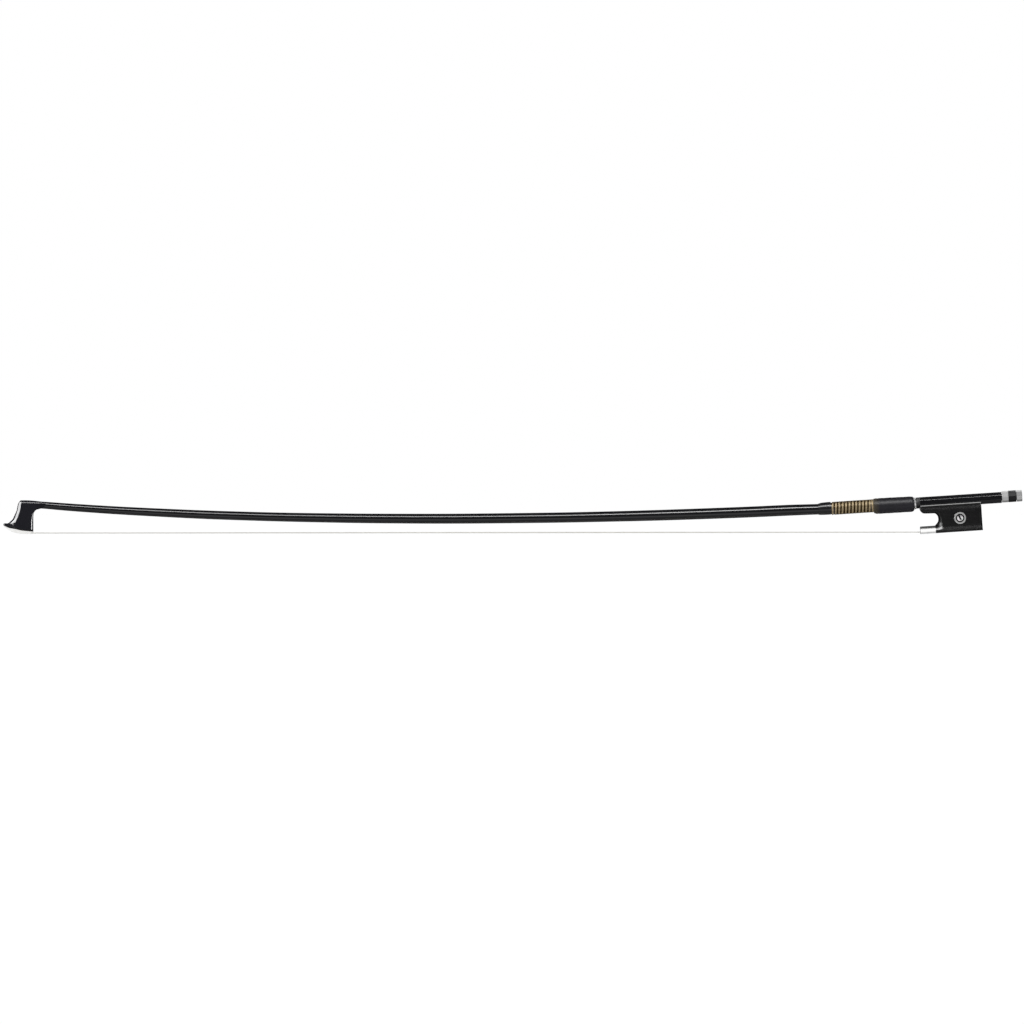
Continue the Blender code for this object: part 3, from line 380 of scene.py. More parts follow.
def natural(points):
    """A natural cubic spline through (x, y) points."""
    x = np.array([p[0] for p in points], float)
    y = np.array([p[1] for p in points], float)
    n, h = len(x), np.diff(x)
    a, r = np.eye(n), np.zeros(n)
    for i in range(1, n - 1):
        a[i, i - 1:i + 2] = h[i - 1], 2 * (h[i - 1] + h[i]), h[i]
        r[i] = 3 * ((y[i + 1] - y[i]) / h[i] - (y[i] - y[i - 1]) / h[i - 1])
    c = np.linalg.solve(a, r)
    b = np.diff(y) / h - h * (2 * c[:-1] + c[1:]) / 3
    d = np.diff(c) / (3 * h)

    def value(t):
        i = int(np.clip(np.searchsorted(x, t) - 1, 0, n - 2))
        s = t - x[i]
        return float(y[i] + b[i] * s + c[i] * s * s + d[i] * s ** 3)
    return value


def mesh_object(name, verts, faces, look, body, smooth=30.0, weighted=False):
    mesh = bpy.data.meshes.new(name)
    mesh.from_pydata([(x * MM, y * MM, z * MM) for x, y, z in verts], [], faces)
    bm = bmesh.new()
    bm.from_mesh(mesh)
    bmesh.ops.remove_doubles(bm, verts=bm.verts, dist=1e-7)
    bmesh.ops.recalc_face_normals(bm, faces=bm.faces)
    bm.to_mesh(mesh)
    bm.free()
    ob = bpy.data.objects.new(name, mesh)
    bpy.context.scene.collection.objects.link(ob)
    if look:
        mesh.materials.append(LOOKS[look])
    finish_shading(ob, smooth, weighted)
    if body:
        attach(ob, body)
    return ob


def finish_shading(ob, smooth=30.0, weighted=False):
    ob.data.shade_smooth()
    if smooth:
        ob.data.set_sharp_from_angle(angle=math.radians(smooth))
    if weighted:
        mod = ob.modifiers.new("faceted", "WEIGHTED_NORMAL")
        mod.mode = "FACE_AREA"
        mod.weight = 80
        mod.keep_sharp = True


def skin(rings, closed_ends=True, pairs=False, around=True):
    """Vertices and faces of rings of equal count joined in order."""
    n = len(rings[0])
    verts = [p for ring in rings for p in ring]
    faces = []
    for k in range(len(rings) - 1):
        a, b = k * n, (k + 1) * n
        for i in range(n if around else n - 1):
            j = (i + 1) % n
            faces.append((a + i, a + j, b + j, b + i))
    if closed_ends:
        for base in (0, (len(rings) - 1) * n):
            if pairs:
                half = (n - 1) // 2
                faces.append((base, base + 1, base + n - 1))
                faces += [(base + i, base + i + 1, base + n - i - 1, base + n - i)
                          for i in range(1, half)]
            else:
                faces.append(tuple(range(base, base + n)))
    return verts, faces


def applied(ob):
    """ob with its modifiers made part of its mesh."""
    bpy.context.view_layer.update()
    graph = bpy.context.evaluated_depsgraph_get()
    mesh = bpy.data.meshes.new_from_object(ob.evaluated_get(graph))
    old = ob.data
    ob.modifiers.clear()
    ob.data = mesh
    mesh.name = ob.name
    if old.users == 0:
        bpy.data.meshes.remove(old)
    return ob


def cut(ob, *tools, how="DIFFERENCE", smooth=30.0):
    """Boolean ob with each tool in turn, then take the tools away."""
    ob.modifiers.clear()
    for tool in tools:
        mod = ob.modifiers.new("cut", "BOOLEAN")
        mod.operation = how
        mod.solver = "EXACT"
        mod.object = tool
    applied(ob)
    for tool in tools:
        bpy.data.objects.remove(tool, do_unlink=True)
    bm = bmesh.new()
    bm.from_mesh(ob.data)
    bmesh.ops.remove_doubles(bm, verts=bm.verts, dist=2e-7)
    bmesh.ops.dissolve_degenerate(bm, edges=bm.edges, dist=1e-7)
    bm.to_mesh(ob.data)
    bm.free()
    finish_shading(ob, smooth, True)
    return ob


def tool(verts, faces):
    return mesh_object("tool", verts, faces, None, None, 0)


def prism(outline, lo, hi, along="u"):
    """An outline of the handle frame pulled straight: (v, w) along u, or (u, w) along v."""
    if along == "u":
        rings = [[from_handle(u, v, w) for v, w in outline] for u in (lo, hi)]
    else:
        rings = [[from_handle(u, v, w) for u, w in outline] for v in (lo, hi)]
    return skin(rings)


def box_tool(lo, hi, handle=False):
    (x0, y0, z0), (x1, y1, z1) = lo, hi
    rings = [[(x, y0, z0), (x, y1, z0), (x, y1, z1), (x, y0, z1)] for x in (x0, x1)]
    if handle:
        rings = [[from_handle(*p) for p in ring] for ring in rings]
    return tool(*skin(rings))


def rod(radius, lo, hi, sides=48, centre=(0.0, 0.0)):
    """A round bar along the handle's axis."""
    return skin([[from_handle(u, centre[0] + radius * math.sin(2 * math.pi * k / sides),
                              centre[1] + radius * math.cos(2 * math.pi * k / sides))
                  for k in range(sides)] for u in (lo, hi)])


# one ring of 64 points that is a circle or an octagon with softened edges
SOFT = 0.22


def octagon_points(apothem, turn=0.0, soft=SOFT):
    """(v, w) of an octagon, eight points to a flat, with its edges softened."""
    side = apothem * math.tan(math.pi / 8)
    pts = []
    for k in range(8):
        a = math.pi / 4 * k + turn
        nv, nw = math.sin(a), math.cos(a)
        tv, tw = math.cos(a), -math.sin(a)
        for f in (-1, -0.72, -0.3, 0.0, 0.3, 0.72, 1):
            s = (side - soft) * f if abs(f) == 1 else (side - soft) * f
            pts.append((nv * apothem + tv * s, nw * apothem + tw * s))
        # the softened edge towards the next flat
        b = a + math.pi / 8
        corner = apothem / math.cos(math.pi / 8) - soft * 0.16
        pts.append((math.sin(b) * corner, math.cos(b) * corner))
    return pts


def round_points(radius, turn=0.0):
    """(v, w) of a circle with its points at the angles of octagon_points."""
    out = []
    for v, w in octagon_points(1.0, turn, 0.05):
        a = math.atan2(v, w)
        out.append((radius * math.sin(a), radius * math.cos(a)))
    return out


def handle_ring(u, points, raise_by=0.0):
    return [from_handle(u, v, w + raise_by) for v, w in points]


# ------------------------------------------------------------------ stick
CAMBER = (
    (-352.0, 21.6), (-342.5, 21.02), (-331.1, 20.1), (-316.3, 19.0), (-286.9, 17.12),
    (-257.7, 15.6), (-228.6, 14.25), (-199.2, 13.22), (-170.0, 12.4), (-140.8, 11.85),
    (-111.5, 11.45), (-82.2, 11.25), (-53.0, 11.18), (-23.8, 11.33), (5.5, 11.64),
    (34.7, 12.02), (64.0, 12.62), (93.2, 13.33), (122.5, 14.22), (151.7, 15.25),
    (181.0, 16.42), (208.0, 17.6),
)
TAPER = ((-352.0, 5.1), (-331.0, 5.15), (-309.0, 5.35), (-272.6, 5.65), (-228.8, 6.0),
         (-170.0, 6.25), (-111.8, 6.7), (-53.0, 7.0), (5.5, 7.15), (64.0, 7.3),
         (122.5, 7.6), (216.0, 7.7), (300.0, 7.7))
STRAIGHT_FROM_X = 226.0
OCTAGON, SCREW_W = 8.0, 0.4
camber = natural(CAMBER + tuple((x, axis_z(x)) for x in (STRAIGHT_FROM_X, 245.0, 270.0)))
taper = curve(TAPER)
body = curve(((-353, 0.0), (-345, 0.0), (-325, 0.13), (200, 0.13), (222, 0.0), (230, 0.0)))   # lacquer build-up

circle = round_points(1.0)
rings = []
x0, count = -353.0, 150
for i in range(count):
    x = x0 + (STRAIGHT_FROM_X - x0) * i / count
    a = math.atan((camber(max(x, -351.9) + 0.1) - camber(max(x, -351.9) - 0.1)) / 0.2)
    r = float(taper(x)) / 2 + float(body(x))
    z = camber(x) if x > -352 else camber(-352) - (x + 352) * -0.062
    rings.append([(x - r * w * math.sin(a), r * v, z + r * w * math.cos(a)) for v, w in circle])
START_U = (STRAIGHT_FROM_X - HX) / COS
eight = octagon_points(OCTAGON / 2)


def scaled(points, f):
    return [(v * f, w * f) for v, w in points]


for u, pts, up in (
        (START_U, scaled(circle, 3.85), 0), (-64.25, scaled(circle, 3.85), 0),
        (-64.2, scaled(circle, 3.5), 0), (-62.42, scaled(circle, 3.5), 0),
        (-62.4, scaled(circle, 3.9), -0.1), (-62.25, scaled(circle, 4.05), -0.1),
        (-60.85, scaled(circle, 4.05), -0.1), (-60.7, scaled(circle, 3.95), -0.06),
        (-60.55, scaled(eight, 0.955), 0), (-60.2, eight, 0)):
    rings.append(handle_ring(u, pts, up))
for i in range(1, 12):
    rings.append(handle_ring(-60.2 + 59.9 * i / 12, eight))
rings.append(handle_ring(-0.28, eight))
rings.append(handle_ring(-0.08, scaled(eight, 0.972)))
rings.append(handle_ring(0.0, scaled(eight, 0.93)))
rings.append(handle_ring(0.0, scaled(circle, 2.5), SCREW_W))
rings.append(handle_ring(3.95, scaled(circle, 2.5), SCREW_W))
rings.append(handle_ring(4.2, scaled(circle, 2.3), SCREW_W))
stick = mesh_object("stick_body", *skin(rings), "stick_lacquer", "bow_stick", 28, True)

# head: outlines from its underside up to the flat top; k = 0 the ridge in front, 1 the ridge's own
# narrow facet, 3 where the side face starts, 4 its middle, 5 and 6 the rear chamfer
HEAD_X = (-372.5, -371.6, -368.0, -363.8, -358.5, -351.55, -350.65)
HEAD_HALF_WIDTH = (0.25, 0.85, 2.35, 3.8, 4.7, 4.65, 3.75)
HEAD_BOTTOM = (7.2, 6.75, 5.2, 4.45, 3.35, 2.7, 2.65)
HEAD_LEVELS = (
    (-372.3, 7.95, -363.9, 3.82, -350.65, 3.4, 1.0, 0.0, 1.21),
    (-369.7, 7.75, -363.9, 3.85, -350.65, 4.9, 1.0, 0.0, 1.18),
    (-368.6, 8.25, -363.85, 3.85, -350.65, 5.8, 1.0, 0.05, 1.15),
    (-367.35, 9.3, -363.5, 3.85, -350.65, 7.2, 1.0, 0.1, 1.11),
    (-365.85, 10.7, -362.9, 3.8, -350.65, 9.0, 1.0, 0.2, 1.08),
    (-364.6, 13.2, -361.65, 3.6, -350.65, 12.0, 0.6, 0.4, 1.06),
    (-363.4, 15.8, -360.8, 3.35, -350.5, 15.0, 0.15, 0.7, 1.06),
    (-362.9, 16.9, -360.4, 3.2, -349.85, 16.25, 0.0, 0.8, 1.06),
    (-362.62, 18.0, -360.1, 3.1, -348.4, 17.7, 0.0, 0.9, 1.06),
    (-362.4, 19.2, -359.85, 2.95, -345.6, 18.45, 0.0, 1.0, 1.0),
    (-361.95, 21.4, -359.65, 2.72, -341.0, 20.9, 0.0, 1.0, 1.0),
    (-361.45, 22.65, -359.35, 2.6, -341.0, 22.05, 0.0, 1.0, 1.0),
    (-361.0, 23.4, -359.1, 2.22, -341.5, 22.65, 0.0, 1.0, 1.0),
    (-360.4, 24.1, -358.8, 1.6, -342.0, 23.2, 0.0, 1.0, 1.0),
    (-359.95, 24.62, -358.5, 0.95, -342.5, 23.5, 0.0, 1.0, 1.0),
)
ridge_x = curve(((7.0, 0.46), (11.0, 0.46), (13.2, 0.39), (16.0, 0.31), (19.0, 0.27), (25.0, 0.25)))
ridge_y = curve(((7.0, 0.64), (11.0, 0.64), (13.2, 0.57), (16.0, 0.50), (19.0, 0.46), (25.0, 0.44)))
head_bottom = curve(tuple(zip(HEAD_X, HEAD_BOTTOM)))
head_half = curve(tuple(zip(HEAD_X, HEAD_HALF_WIDTH)))
control = [[(x, y, z) for x, y, z in zip(HEAD_X[:5], HEAD_HALF_WIDTH, HEAD_BOTTOM)]
           + [(-352.3, 4.62, 2.73), (-351.55, 3.87, 2.7), (-350.65, 2.05, 2.65)]]
control[0][0] = (HEAD_X[0], 0.0, HEAD_BOTTOM[0])
for xf, zf, xs, half, xr, zr, bevel, flat, belly in HEAD_LEVELS:
    zs = zf - (1 - flat) * (float(head_bottom(xf)) - float(head_bottom(xs)))
    zs = min(zs, zf) if flat < 1 else zf
    xm = (xs + xr) / 2 if flat < 1 else -352.0
    low = xr < -345
    rear = half if low else min(half, 2.35)
    zm = zs - 0.15 if flat == 1.0 else zs + (zr - zs) * (xm - xs) / (xr - xs)
    bulge = 0.16 * max(0.0, 1 - flat * 4)
    b = min(1.0, flat / 0.3)
    b = b * b * (3 - 2 * b)
    pts = [(xf, 0.0, zf)]
    for k, (fa, fx, fy) in enumerate(((0.1 if xf < -372 else 0.34, float(ridge_x(zf)), float(ridge_y(zf))),
                                      (0.62 if xf < -372 else 0.67, 0.5 + 0.5 * float(ridge_x(zf)), 0.5 + 0.5 * float(ridge_y(zf))))):
        ax, ay = fa, fa + bulge * math.sin(math.pi * fa)
        gx, gy = ax + (fx - ax) * b, ay + (fy - ay) * b
        pts.append((xf + (xs - xf) * gx, half * gy, zf + (zs - zf) * gx))
    # the rear corner: a flat bevel, then a steeper round-over into the rear face
    rear *= belly
    c1, c2 = 0.5 + 0.9 * bevel, 0.25 + 0.5 * bevel
    y1 = rear - (c1 - c2)
    y2 = y1 - 2.0 * c2 if low else y1 - c2
    pts += [(xs, half, zs), (xm, half * max(1.06, belly), zm), (xr - c1, rear, zr), (xr - c2, y1, zr),
            (xr, max(0.4, y2), zr)]
    control.append(pts)
control = np.array(control)                       # level, point, xyz
along = np.concatenate(([0.0], np.cumsum(np.maximum(0.05, np.linalg.norm(
    np.diff(control[:, 3], axis=0), axis=1)))))
samples = [0.0, 0.15, 0.3]
for a, b in zip(along, along[1:]):
    n = max(1, int(round((b - a) / 0.45)))
    samples += [a + (b - a) * (i + 1) / n for i in range(n) if a + (b - a) * (i + 1) / n > 0.35]
fine = np.stack([np.stack([curve(list(zip(along, control[:, k, c])))(samples) for c in range(3)], axis=-1)
                 for k in range(8)], axis=1)      # sample, point, xyz


def softened(points, corners, d):
    """Points with each named corner replaced by a small three-point edge."""
    out = []
    for i, p in enumerate(points):
        if i not in corners:
            out.append(p)
            continue
        a, b = points[i - 1] - p, points[i + 1] - p
        la, lb = np.linalg.norm(a), np.linalg.norm(b)
        da, db = min(d, la * 0.4), min(d, lb * 0.4)
        pa, pb = p + a / max(la, 1e-9) * da, p + b / max(lb, 1e-9) * db
        out += [pa, p * 0.5 + (pa + pb) * 0.25, pb]
    return out


head_rings = []
for ring in fine:
    p = [np.array(q) for q in ring]
    side = []                                     # the side face, gently crowned
    for f in np.linspace(0, 1, 9)[1:-1]:
        q = (1 - f) * p[3] + f * p[5]
        mid = p[4] - (p[3] + p[5]) / 2
        side.append(q + mid * (4 * f * (1 - f)))
    line = [p[0], p[1], (p[1] + p[3]) / 2 if ring[3][2] > 10 else p[2], p[3]] + side + [p[5], p[6], p[7]]
    last = len(line) - 1
    mirror = p[7].copy()
    mirror[1] = -mirror[1]
    line_ext = line + [mirror]
    half_line = softened(line_ext, (1, 3, last - 2, last - 1, last), 0.13)[:-1]
    left = [(q[0], -q[1], q[2]) for q in reversed(half_line[1:])]
    head_rings.append([tuple(q) for q in half_line] + left)
head = mesh_object("tool", *skin(head_rings, pairs=True), None, None, 0)
cut(stick, head, how="UNION", smooth=28)
bore = tool(*rod(1.95, -46.0, 5.2, 32, (0, SCREW_W)))
pilot = tool(*rod(1.25, -55.0, -45.0, 32, (0, SCREW_W)))
mortise = box_tool((-45.0, -2.45, -9.0), (-29.0, 2.45, 3.0), True)
tip_mortise = box_tool((-361.0, -3.3, -2.0), (-354.0, 3.3, 9.6))
cut(stick, bore, pilot, mortise, tip_mortise, smooth=28)
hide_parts("stick")


REAR_X, REAR_HALF = (-352.3, -351.55, -350.65), (4.62, 3.87, 2.05)


def sole(name, top, low, look, node, soft=0.12):
    """A sheet under the head, following its outline, with softened lower edges."""
    top_z, low_z = curve(tuple(zip(HEAD_X, top))), curve(tuple(zip(HEAD_X, low)))
    xs = [-372.5, -372.3, -372.0, -371.6]
    xs += list(np.linspace(-371.0, -352.6, 38)) + [-352.3, -351.95, -351.55, -351.1, -350.65]
    rings = []
    for x in xs:
        # the rear corners follow the head's bevel
        wide = float(head_half(x)) if x < -352.3 else float(np.interp(x, REAR_X, REAR_HALF))
        h, t, b = wide, float(top_z(x)), float(low_z(x))
        s = min(soft, (t - b) * 0.3, h * 0.3)
        half = [(0.0, t), (h * 0.5, t), (h - s * 0.5, t), (h, t - s * 0.5), (h, b + s),
                (h - s * 0.35, b + s * 0.35), (h - s, b), (h * 0.5, b), (0.0, b)]
        ring = [(x, y, z) for y, z in half] + [(x, -y, z) for y, z in reversed(half[1:-1])]
        rings.append(ring)
    ob = mesh_object(name, *skin(rings), look, "bow_stick", 35, True)
    cut(ob, box_tool((-361.0, -3.3, -2.0), (-354.0, 3.3, 9.6)), smooth=35)
    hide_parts(node)
    return ob


under = [z + 0.06 for z in HEAD_BOTTOM]       # let a little into the wood
sole("liner_sheet", under, [z - 0.86 for z in under], "liner_black", "head_liner", 0.05)
plate = sole("tip_plate_shaped", [z - 0.82 for z in HEAD_BOTTOM],
             (5.7, 5.0, 2.6, 0.9, 0.0, 0.0, 0.0), "tip_white", "tip_plate", 0.25)
cut(plate, box_tool((-354.6, -3.95, -2.0), (-349.65, 3.95, 1.45)), smooth=35)

# ------------------------------------------------------------------ grip

def off_centre(stations, sides=72):
    """Rings from (u, upper w, lower w) stations."""
    top, low = curve([(s[0], s[1]) for s in stations]), curve([(s[0], s[2]) for s in stations])

    def ring(u, bump=None):
        hi, lo = float(top(u)), float(low(u))
        r, c = (hi - lo) / 2, (hi + lo) / 2
        pts = []
        for k in range(sides):
            t = 2 * math.pi * k / sides
            rr = r + (bump(u, t) if bump else 0.0)
            pts.append(from_handle(u, rr * math.sin(t), c + rr * math.cos(t)))
        return pts
    return ring


def bore_rings(lo, hi, radius, sides=72):
    return [[from_handle(u, radius * math.sin(2 * math.pi * k / sides), radius * math.cos(2 * math.pi * k / sides))
             for k in range(sides)] for u in (hi, lo)]


UNDERLAY = (
    (-134.2, 4.05, -4.05), (-133.9, 4.12, -4.1), (-132.9, 4.4, -4.2), (-131.6, 4.66, -4.28),
    (-129.6, 4.76, -4.36), (-126.5, 4.82, -4.4), (-124.95, 4.82, -4.4))
shown = off_centre(UNDERLAY)
hidden = off_centre(((-124.9, 4.18, -4.18), (-94.2, 4.18, -4.18)))


def wraps(u, t):
    """The bound sleeve's faint turns."""
    turn = (u / 1.15 + t / (2 * math.pi)) % 1.0
    return 0.035 * (1 - abs(2 * turn - 1)) ** 0.5 - 0.02


us = list(np.linspace(-134.2, -124.96, 70))
rings = [shown(u, wraps) for u in us] + [hidden(-124.9), hidden(-94.2)]
rings += bore_rings(-134.2, -94.2, 3.95)
rings.append(rings[0])
ob = mesh_object("bound_sleeve", *skin(rings, closed_ends=False), "sleeve_dark", "bow_stick", 35)
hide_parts("winding_underlay")

PITCH, STEPS = 2.476, 60
GOLD_W, BLACK_W, START = 1.28, 1.02, -124.48


def wound(name, start, width, first, last, look, node, crown, limit=None):
    """A strip wound round the handle from turn first to last, 0 at its front side; its very ends run straight round."""
    outer, inner = 4.72, 4.29
    rings = []
    rng = random.Random(len(name))
    drift = [rng.uniform(-1, 1) for _ in range(int(last) + 4)]
    for i in range(int(first * STEPS), int(last * STEPS) + 1):
        t = 2 * math.pi * (i / STEPS) + math.pi * 1.5
        turn = max(0.0, i / STEPS)
        k, f = int(turn), turn - int(turn)
        wander = 0.03 * (drift[k] * (1 - f) + drift[k + 1] * f)
        u = start + PITCH * turn + (wander if i > 0 else 0.03 * drift[0])
        if limit is not None:
            u = min(u, limit - width)
        e = 0.09
        section = ((0.03, inner), (0.0, outer - e), (e * 0.35, outer - e * 0.3), (e * 1.3, outer),
                   (width * 0.35, outer + crown), (width * 0.65, outer + crown),
                   (width - e * 1.3, outer), (width - e * 0.35, outer - e * 0.3),
                   (width, outer - e), (width - 0.03, inner))
        rings.append([from_handle(u + du, r * math.sin(t), r * math.cos(t)) for du, r in section])
    ob = mesh_object(name, *skin(rings), look, "bow_stick", 50)
    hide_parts(node)
    return ob


wound("gold_winding", START, GOLD_W, -0.37, 12.32, "winding_gold", "winding_gold", 0.05, -93.97)
wound("black_winding", START + GOLD_W + (PITCH - GOLD_W - BLACK_W) / 2, BLACK_W, 0, 10.86,
      "winding_black", "winding_black", 0.0)

LEATHER = (
    (-93.9, 4.62, -4.8), (-93.7, 4.92, -5.15), (-93.3, 5.14, -5.55), (-92.6, 5.26, -5.92), (-91.6, 5.25, -6.1),
    (-83.0, 5.2, -6.2), (-72.0, 5.05, -6.25), (-66.0, 4.95, -6.25), (-65.3, 4.86, -6.1),
    (-64.8, 4.62, -5.78), (-64.4, 4.3, -5.35), (-64.1, 3.95, -4.95))
SEAM = 1.95                                        # its angle from the top, on the far side


def leather_surface(u, t):
    """Turned-in front lip, two pressed lines behind it, a butt seam and soft wrinkles."""
    b = 0.0
    for line, depth, wide in ((-92.75, 0.13, 0.22), (-90.35, 0.16, 0.26), (-65.6, 0.08, 0.2)):
        b -= depth * math.exp(-((u - line) / wide) ** 2)
    d = (t - SEAM + math.pi) % (2 * math.pi) - math.pi
    s = d * 5.6
    b += 0.10 * math.exp(-((abs(s) - 0.75) / 0.5) ** 2) - 0.22 * math.exp(-(s / 0.16) ** 2)
    b += 0.035 * math.sin(u * 0.9 + 2.3 * math.sin(t)) + 0.022 * math.sin(u * 2.3 + 3 * t)
    return b


ring = off_centre(LEATHER, 120)
us = [-93.9, -93.8, -93.7, -93.55, -93.4] + list(np.arange(-93.25, -89.4, 0.12))
us += list(np.arange(-89.3, -66.6, 0.35)) + list(np.arange(-66.5, -64.15, 0.11)) + [-64.1]
rings = [ring(u, leather_surface) for u in us] + bore_rings(-93.9, -64.1, 3.95, 120)
rings.append(rings[0])
ob = mesh_object("leather_grip", *skin(rings, closed_ends=False), "grip_leather", "bow_stick", 40)
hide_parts("thumb_leather")

RING_R, RING_C = 4.25, -0.25
stations = [(-63.95, 3.98), (-63.93, 4.08), (-63.8, 4.2), (-63.55, 4.25), (-63.42, 4.21), (-63.34, 4.21),
            (-63.25, 4.25), (-62.95, 4.24), (-62.7, 4.18), (-62.57, 4.08), (-62.55, 3.98)]
rings = [[from_handle(u, r * math.sin(2 * math.pi * k / 96), RING_C + r * math.cos(2 * math.pi * k / 96))
          for k in range(96)] for u, r in stations]
rings += [[from_handle(u, 3.6 * math.sin(2 * math.pi * k / 96), 3.6 * math.cos(2 * math.pi * k / 96))
           for k in range(96)] for u in (-62.55, -63.95)]
rings.append(rings[0])
ob = mesh_object("nickel_grip_ring", *skin(rings, closed_ends=False), "nickel", "bow_stick", 50)
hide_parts("grip_ring")

# ------------------------------------------------------------------ frog
FLOOR, D_TOP, D_HALF, D_SHOULDER = -22.85, -17.4, 6.5, -21.9
NOSE = ((-60.5, -3.4), (-60.25, -4.8), (-59.6, -6.4), (-58.8, -7.3), (-57.9, -7.9))
THROAT = ((-56.6, -8.15), (-53.5, -8.3), (-50.6, -8.4), (-49.2, -8.6), (-48.35, -9.25), (-47.65, -10.2),
          (-47.25, -11.4), (-47.15, -12.6), (-47.25, -13.8), (-47.75, -15.0), (-48.4, -15.9),
          (-49.0, -16.55), (-49.6, -17.1))
# where the flare round the throat runs out on the frog's side, against the way gone down the throat
FLARE_FROM_W = -12.6
RUN_OUT = ((0.0, -45.15, -12.6), (0.2, -44.9, -14.0), (0.4, -44.3, -16.1), (0.58, -43.8, -18.0),
           (0.72, -43.75, -19.3), (0.84, -44.6, -20.2), (0.93, -46.6, -20.7), (1.0, -49.6, -20.85))
BASE = FLOOR - 0.12                                # the block stands a touch proud of its slide
section = curve(((-23.0, 6.5), (-22.0, 6.45), (-20.5, 6.15), (-18.5, 5.72), (-13.0, 5.4), (-9.0, 5.246),
                 (-7.5, 5.141), (-6.5, 5.036), (-5.5, 4.86), (-4.5, 4.638), (-3.9, 4.543), (-2.95, 4.46),
                 (0.0, 4.35)))


def drop(v):
    return (D_TOP - D_SHOULDER) * (1 - math.sqrt(max(0.0, 1 - (v / D_HALF) ** 2)))


def through(points, step):
    """Evenly spaced points of a smooth curve through (u, w) points."""
    p = np.array(points, float)
    s = np.concatenate(([0.0], np.cumsum(np.linalg.norm(np.diff(p, axis=0), axis=1))))
    fu, fw = natural(list(zip(s, p[:, 0]))), natural(list(zip(s, p[:, 1])))
    n = int(round(s[-1] / step))
    return [(fu(t), fw(t)) for t in np.linspace(0, s[-1], n + 1)]


front = through(NOSE + THROAT, 0.3)
rows = []                                          # point, normals into the ebony with flare and edge radius


def amount(f, lo, hi):
    t = min(1.0, max(0.0, (f - lo) / (hi - lo)))
    return t * t * (3 - 2 * t)


TOP_EDGE, SIDE_EDGE, REAR_EDGE, NOSE_EDGE = 0.2, 0.14, 2.2, 1.25
rows.append(((-60.5, -2.95), (((1, 0), 0.0, NOSE_EDGE), ((0, -1), 0.0, TOP_EDGE))))
total = len(front)
bend = min(i for i, (u, w) in enumerate(front) if w < FLARE_FROM_W)
run_u, run_w = natural([(t, u) for t, u, _ in RUN_OUT]), natural([(t, w) for t, _, w in RUN_OUT])
for i, (u, w) in enumerate(front):
    a, b = front[max(0, i - 1)], front[min(total - 1, i + 1)]
    du, dw = b[0] - a[0], b[1] - a[1]
    size = math.hypot(du, dw)
    n = (-dw / size, du / size)
    if i == total - 1:
        n = (0.0, -1.0)
    if i >= bend:
        t = (i - bend) / (total - 1 - bend)
        rows.append(((u, w), (("out", run_u(t), run_w(t)),)))
        continue
    flare = amount(-w, 5.2, 8.1)
    edge = NOSE_EDGE * (1 - flare) + SIDE_EDGE * flare * min(1.0, (bend - i) / 6)
    rows.append(((u, w), ((n, flare, edge),)))
for w in (-20.95, -21.4, -21.8, -22.2, -22.5):
    rows.append(((-49.6, w), (((1, 0), 0.0, 0.0),)))
rows.append(((-49.6, BASE), (((1, 0), 0.0, 0.0), ((0, 1), 0.0, 0.28))))
for u in np.linspace(-49.0, -17.4, 40):
    rows.append(((float(u), BASE), (((0, 1), 0.0, 0.28),)))
rows.append(((-16.2, BASE), (((0, 1), 0.0, 0.28),)))
rows.append(((-15.2, BASE), (((0, 1), 0.0, 0.28), ((-1, 0), 0.0, REAR_EDGE))))
for w in np.linspace(-22.3, -3.4, 36):
    rows.append(((-15.2, float(w)), (((-1, 0), 0.0, REAR_EDGE),)))
rows.append(((-15.2, -2.95), (((-1, 0), 0.0, REAR_EDGE), ((0, -1), 0.0, TOP_EDGE))))
for u in np.linspace(-17.4, -59.0, 60):
    rows.append(((float(u), -2.95), (((0, -1), 0.0, TOP_EDGE),)))

ACROSS = (0.0, 0.2, 0.4, 0.55, 0.66, 0.74, 0.81, 0.865, 0.905, 0.935, 0.96, 0.98, 0.993, 1.0)
strip_rows, side_loop = [], []
for (ou, ow), normals in rows:
    def at(v, end):
        u, w = ou, ow
        if normals[0][0] == "out":
            f = drop(v) / drop(end)
            return u + (normals[0][1] - u) * f, w + (normals[0][2] - w) * f
        for (nu, nw), flare, edge in normals:
            g = flare * drop(v)
            if edge and v > end - edge:
                g += edge - math.sqrt(max(0.0, edge ** 2 - (v - end + edge) ** 2))
            u, w = u + nu * g, w + nw * g
        return u, w
    end = 5.2
    for _ in range(30):
        end = float(section(at(end, end)[1]))
    line = [(*at(end * f, end), end * f) for f in ACROSS]
    u, w, _ = line[-1]
    line[-1] = (u, w, float(section(w)))
    strip_rows.append(line)
    side_loop.append((u, w))

verts, faces = [], []
index = {}


def vert(u, v, w):
    key = (round(u, 5), round(v, 5), round(w, 5))
    if key not in index:
        index[key] = len(verts)
        verts.append(from_handle(u, v, w))
    return index[key]


n = len(strip_rows)
for i in range(n):
    a, b = strip_rows[i], strip_rows[(i + 1) % n]
    for sign in (-1, 1):
        for j in range(len(ACROSS) - 1):
            quad = [vert(a[j][0], sign * a[j][2], a[j][1]), vert(a[j + 1][0], sign * a[j + 1][2], a[j + 1][1]),
                    vert(b[j + 1][0], sign * b[j + 1][2], b[j + 1][1]), vert(b[j][0], sign * b[j][2], b[j][1])]
            quad = list(dict.fromkeys(quad))
            if len(quad) > 2:
                faces.append(tuple(quad))

loop = np.array(side_loop)


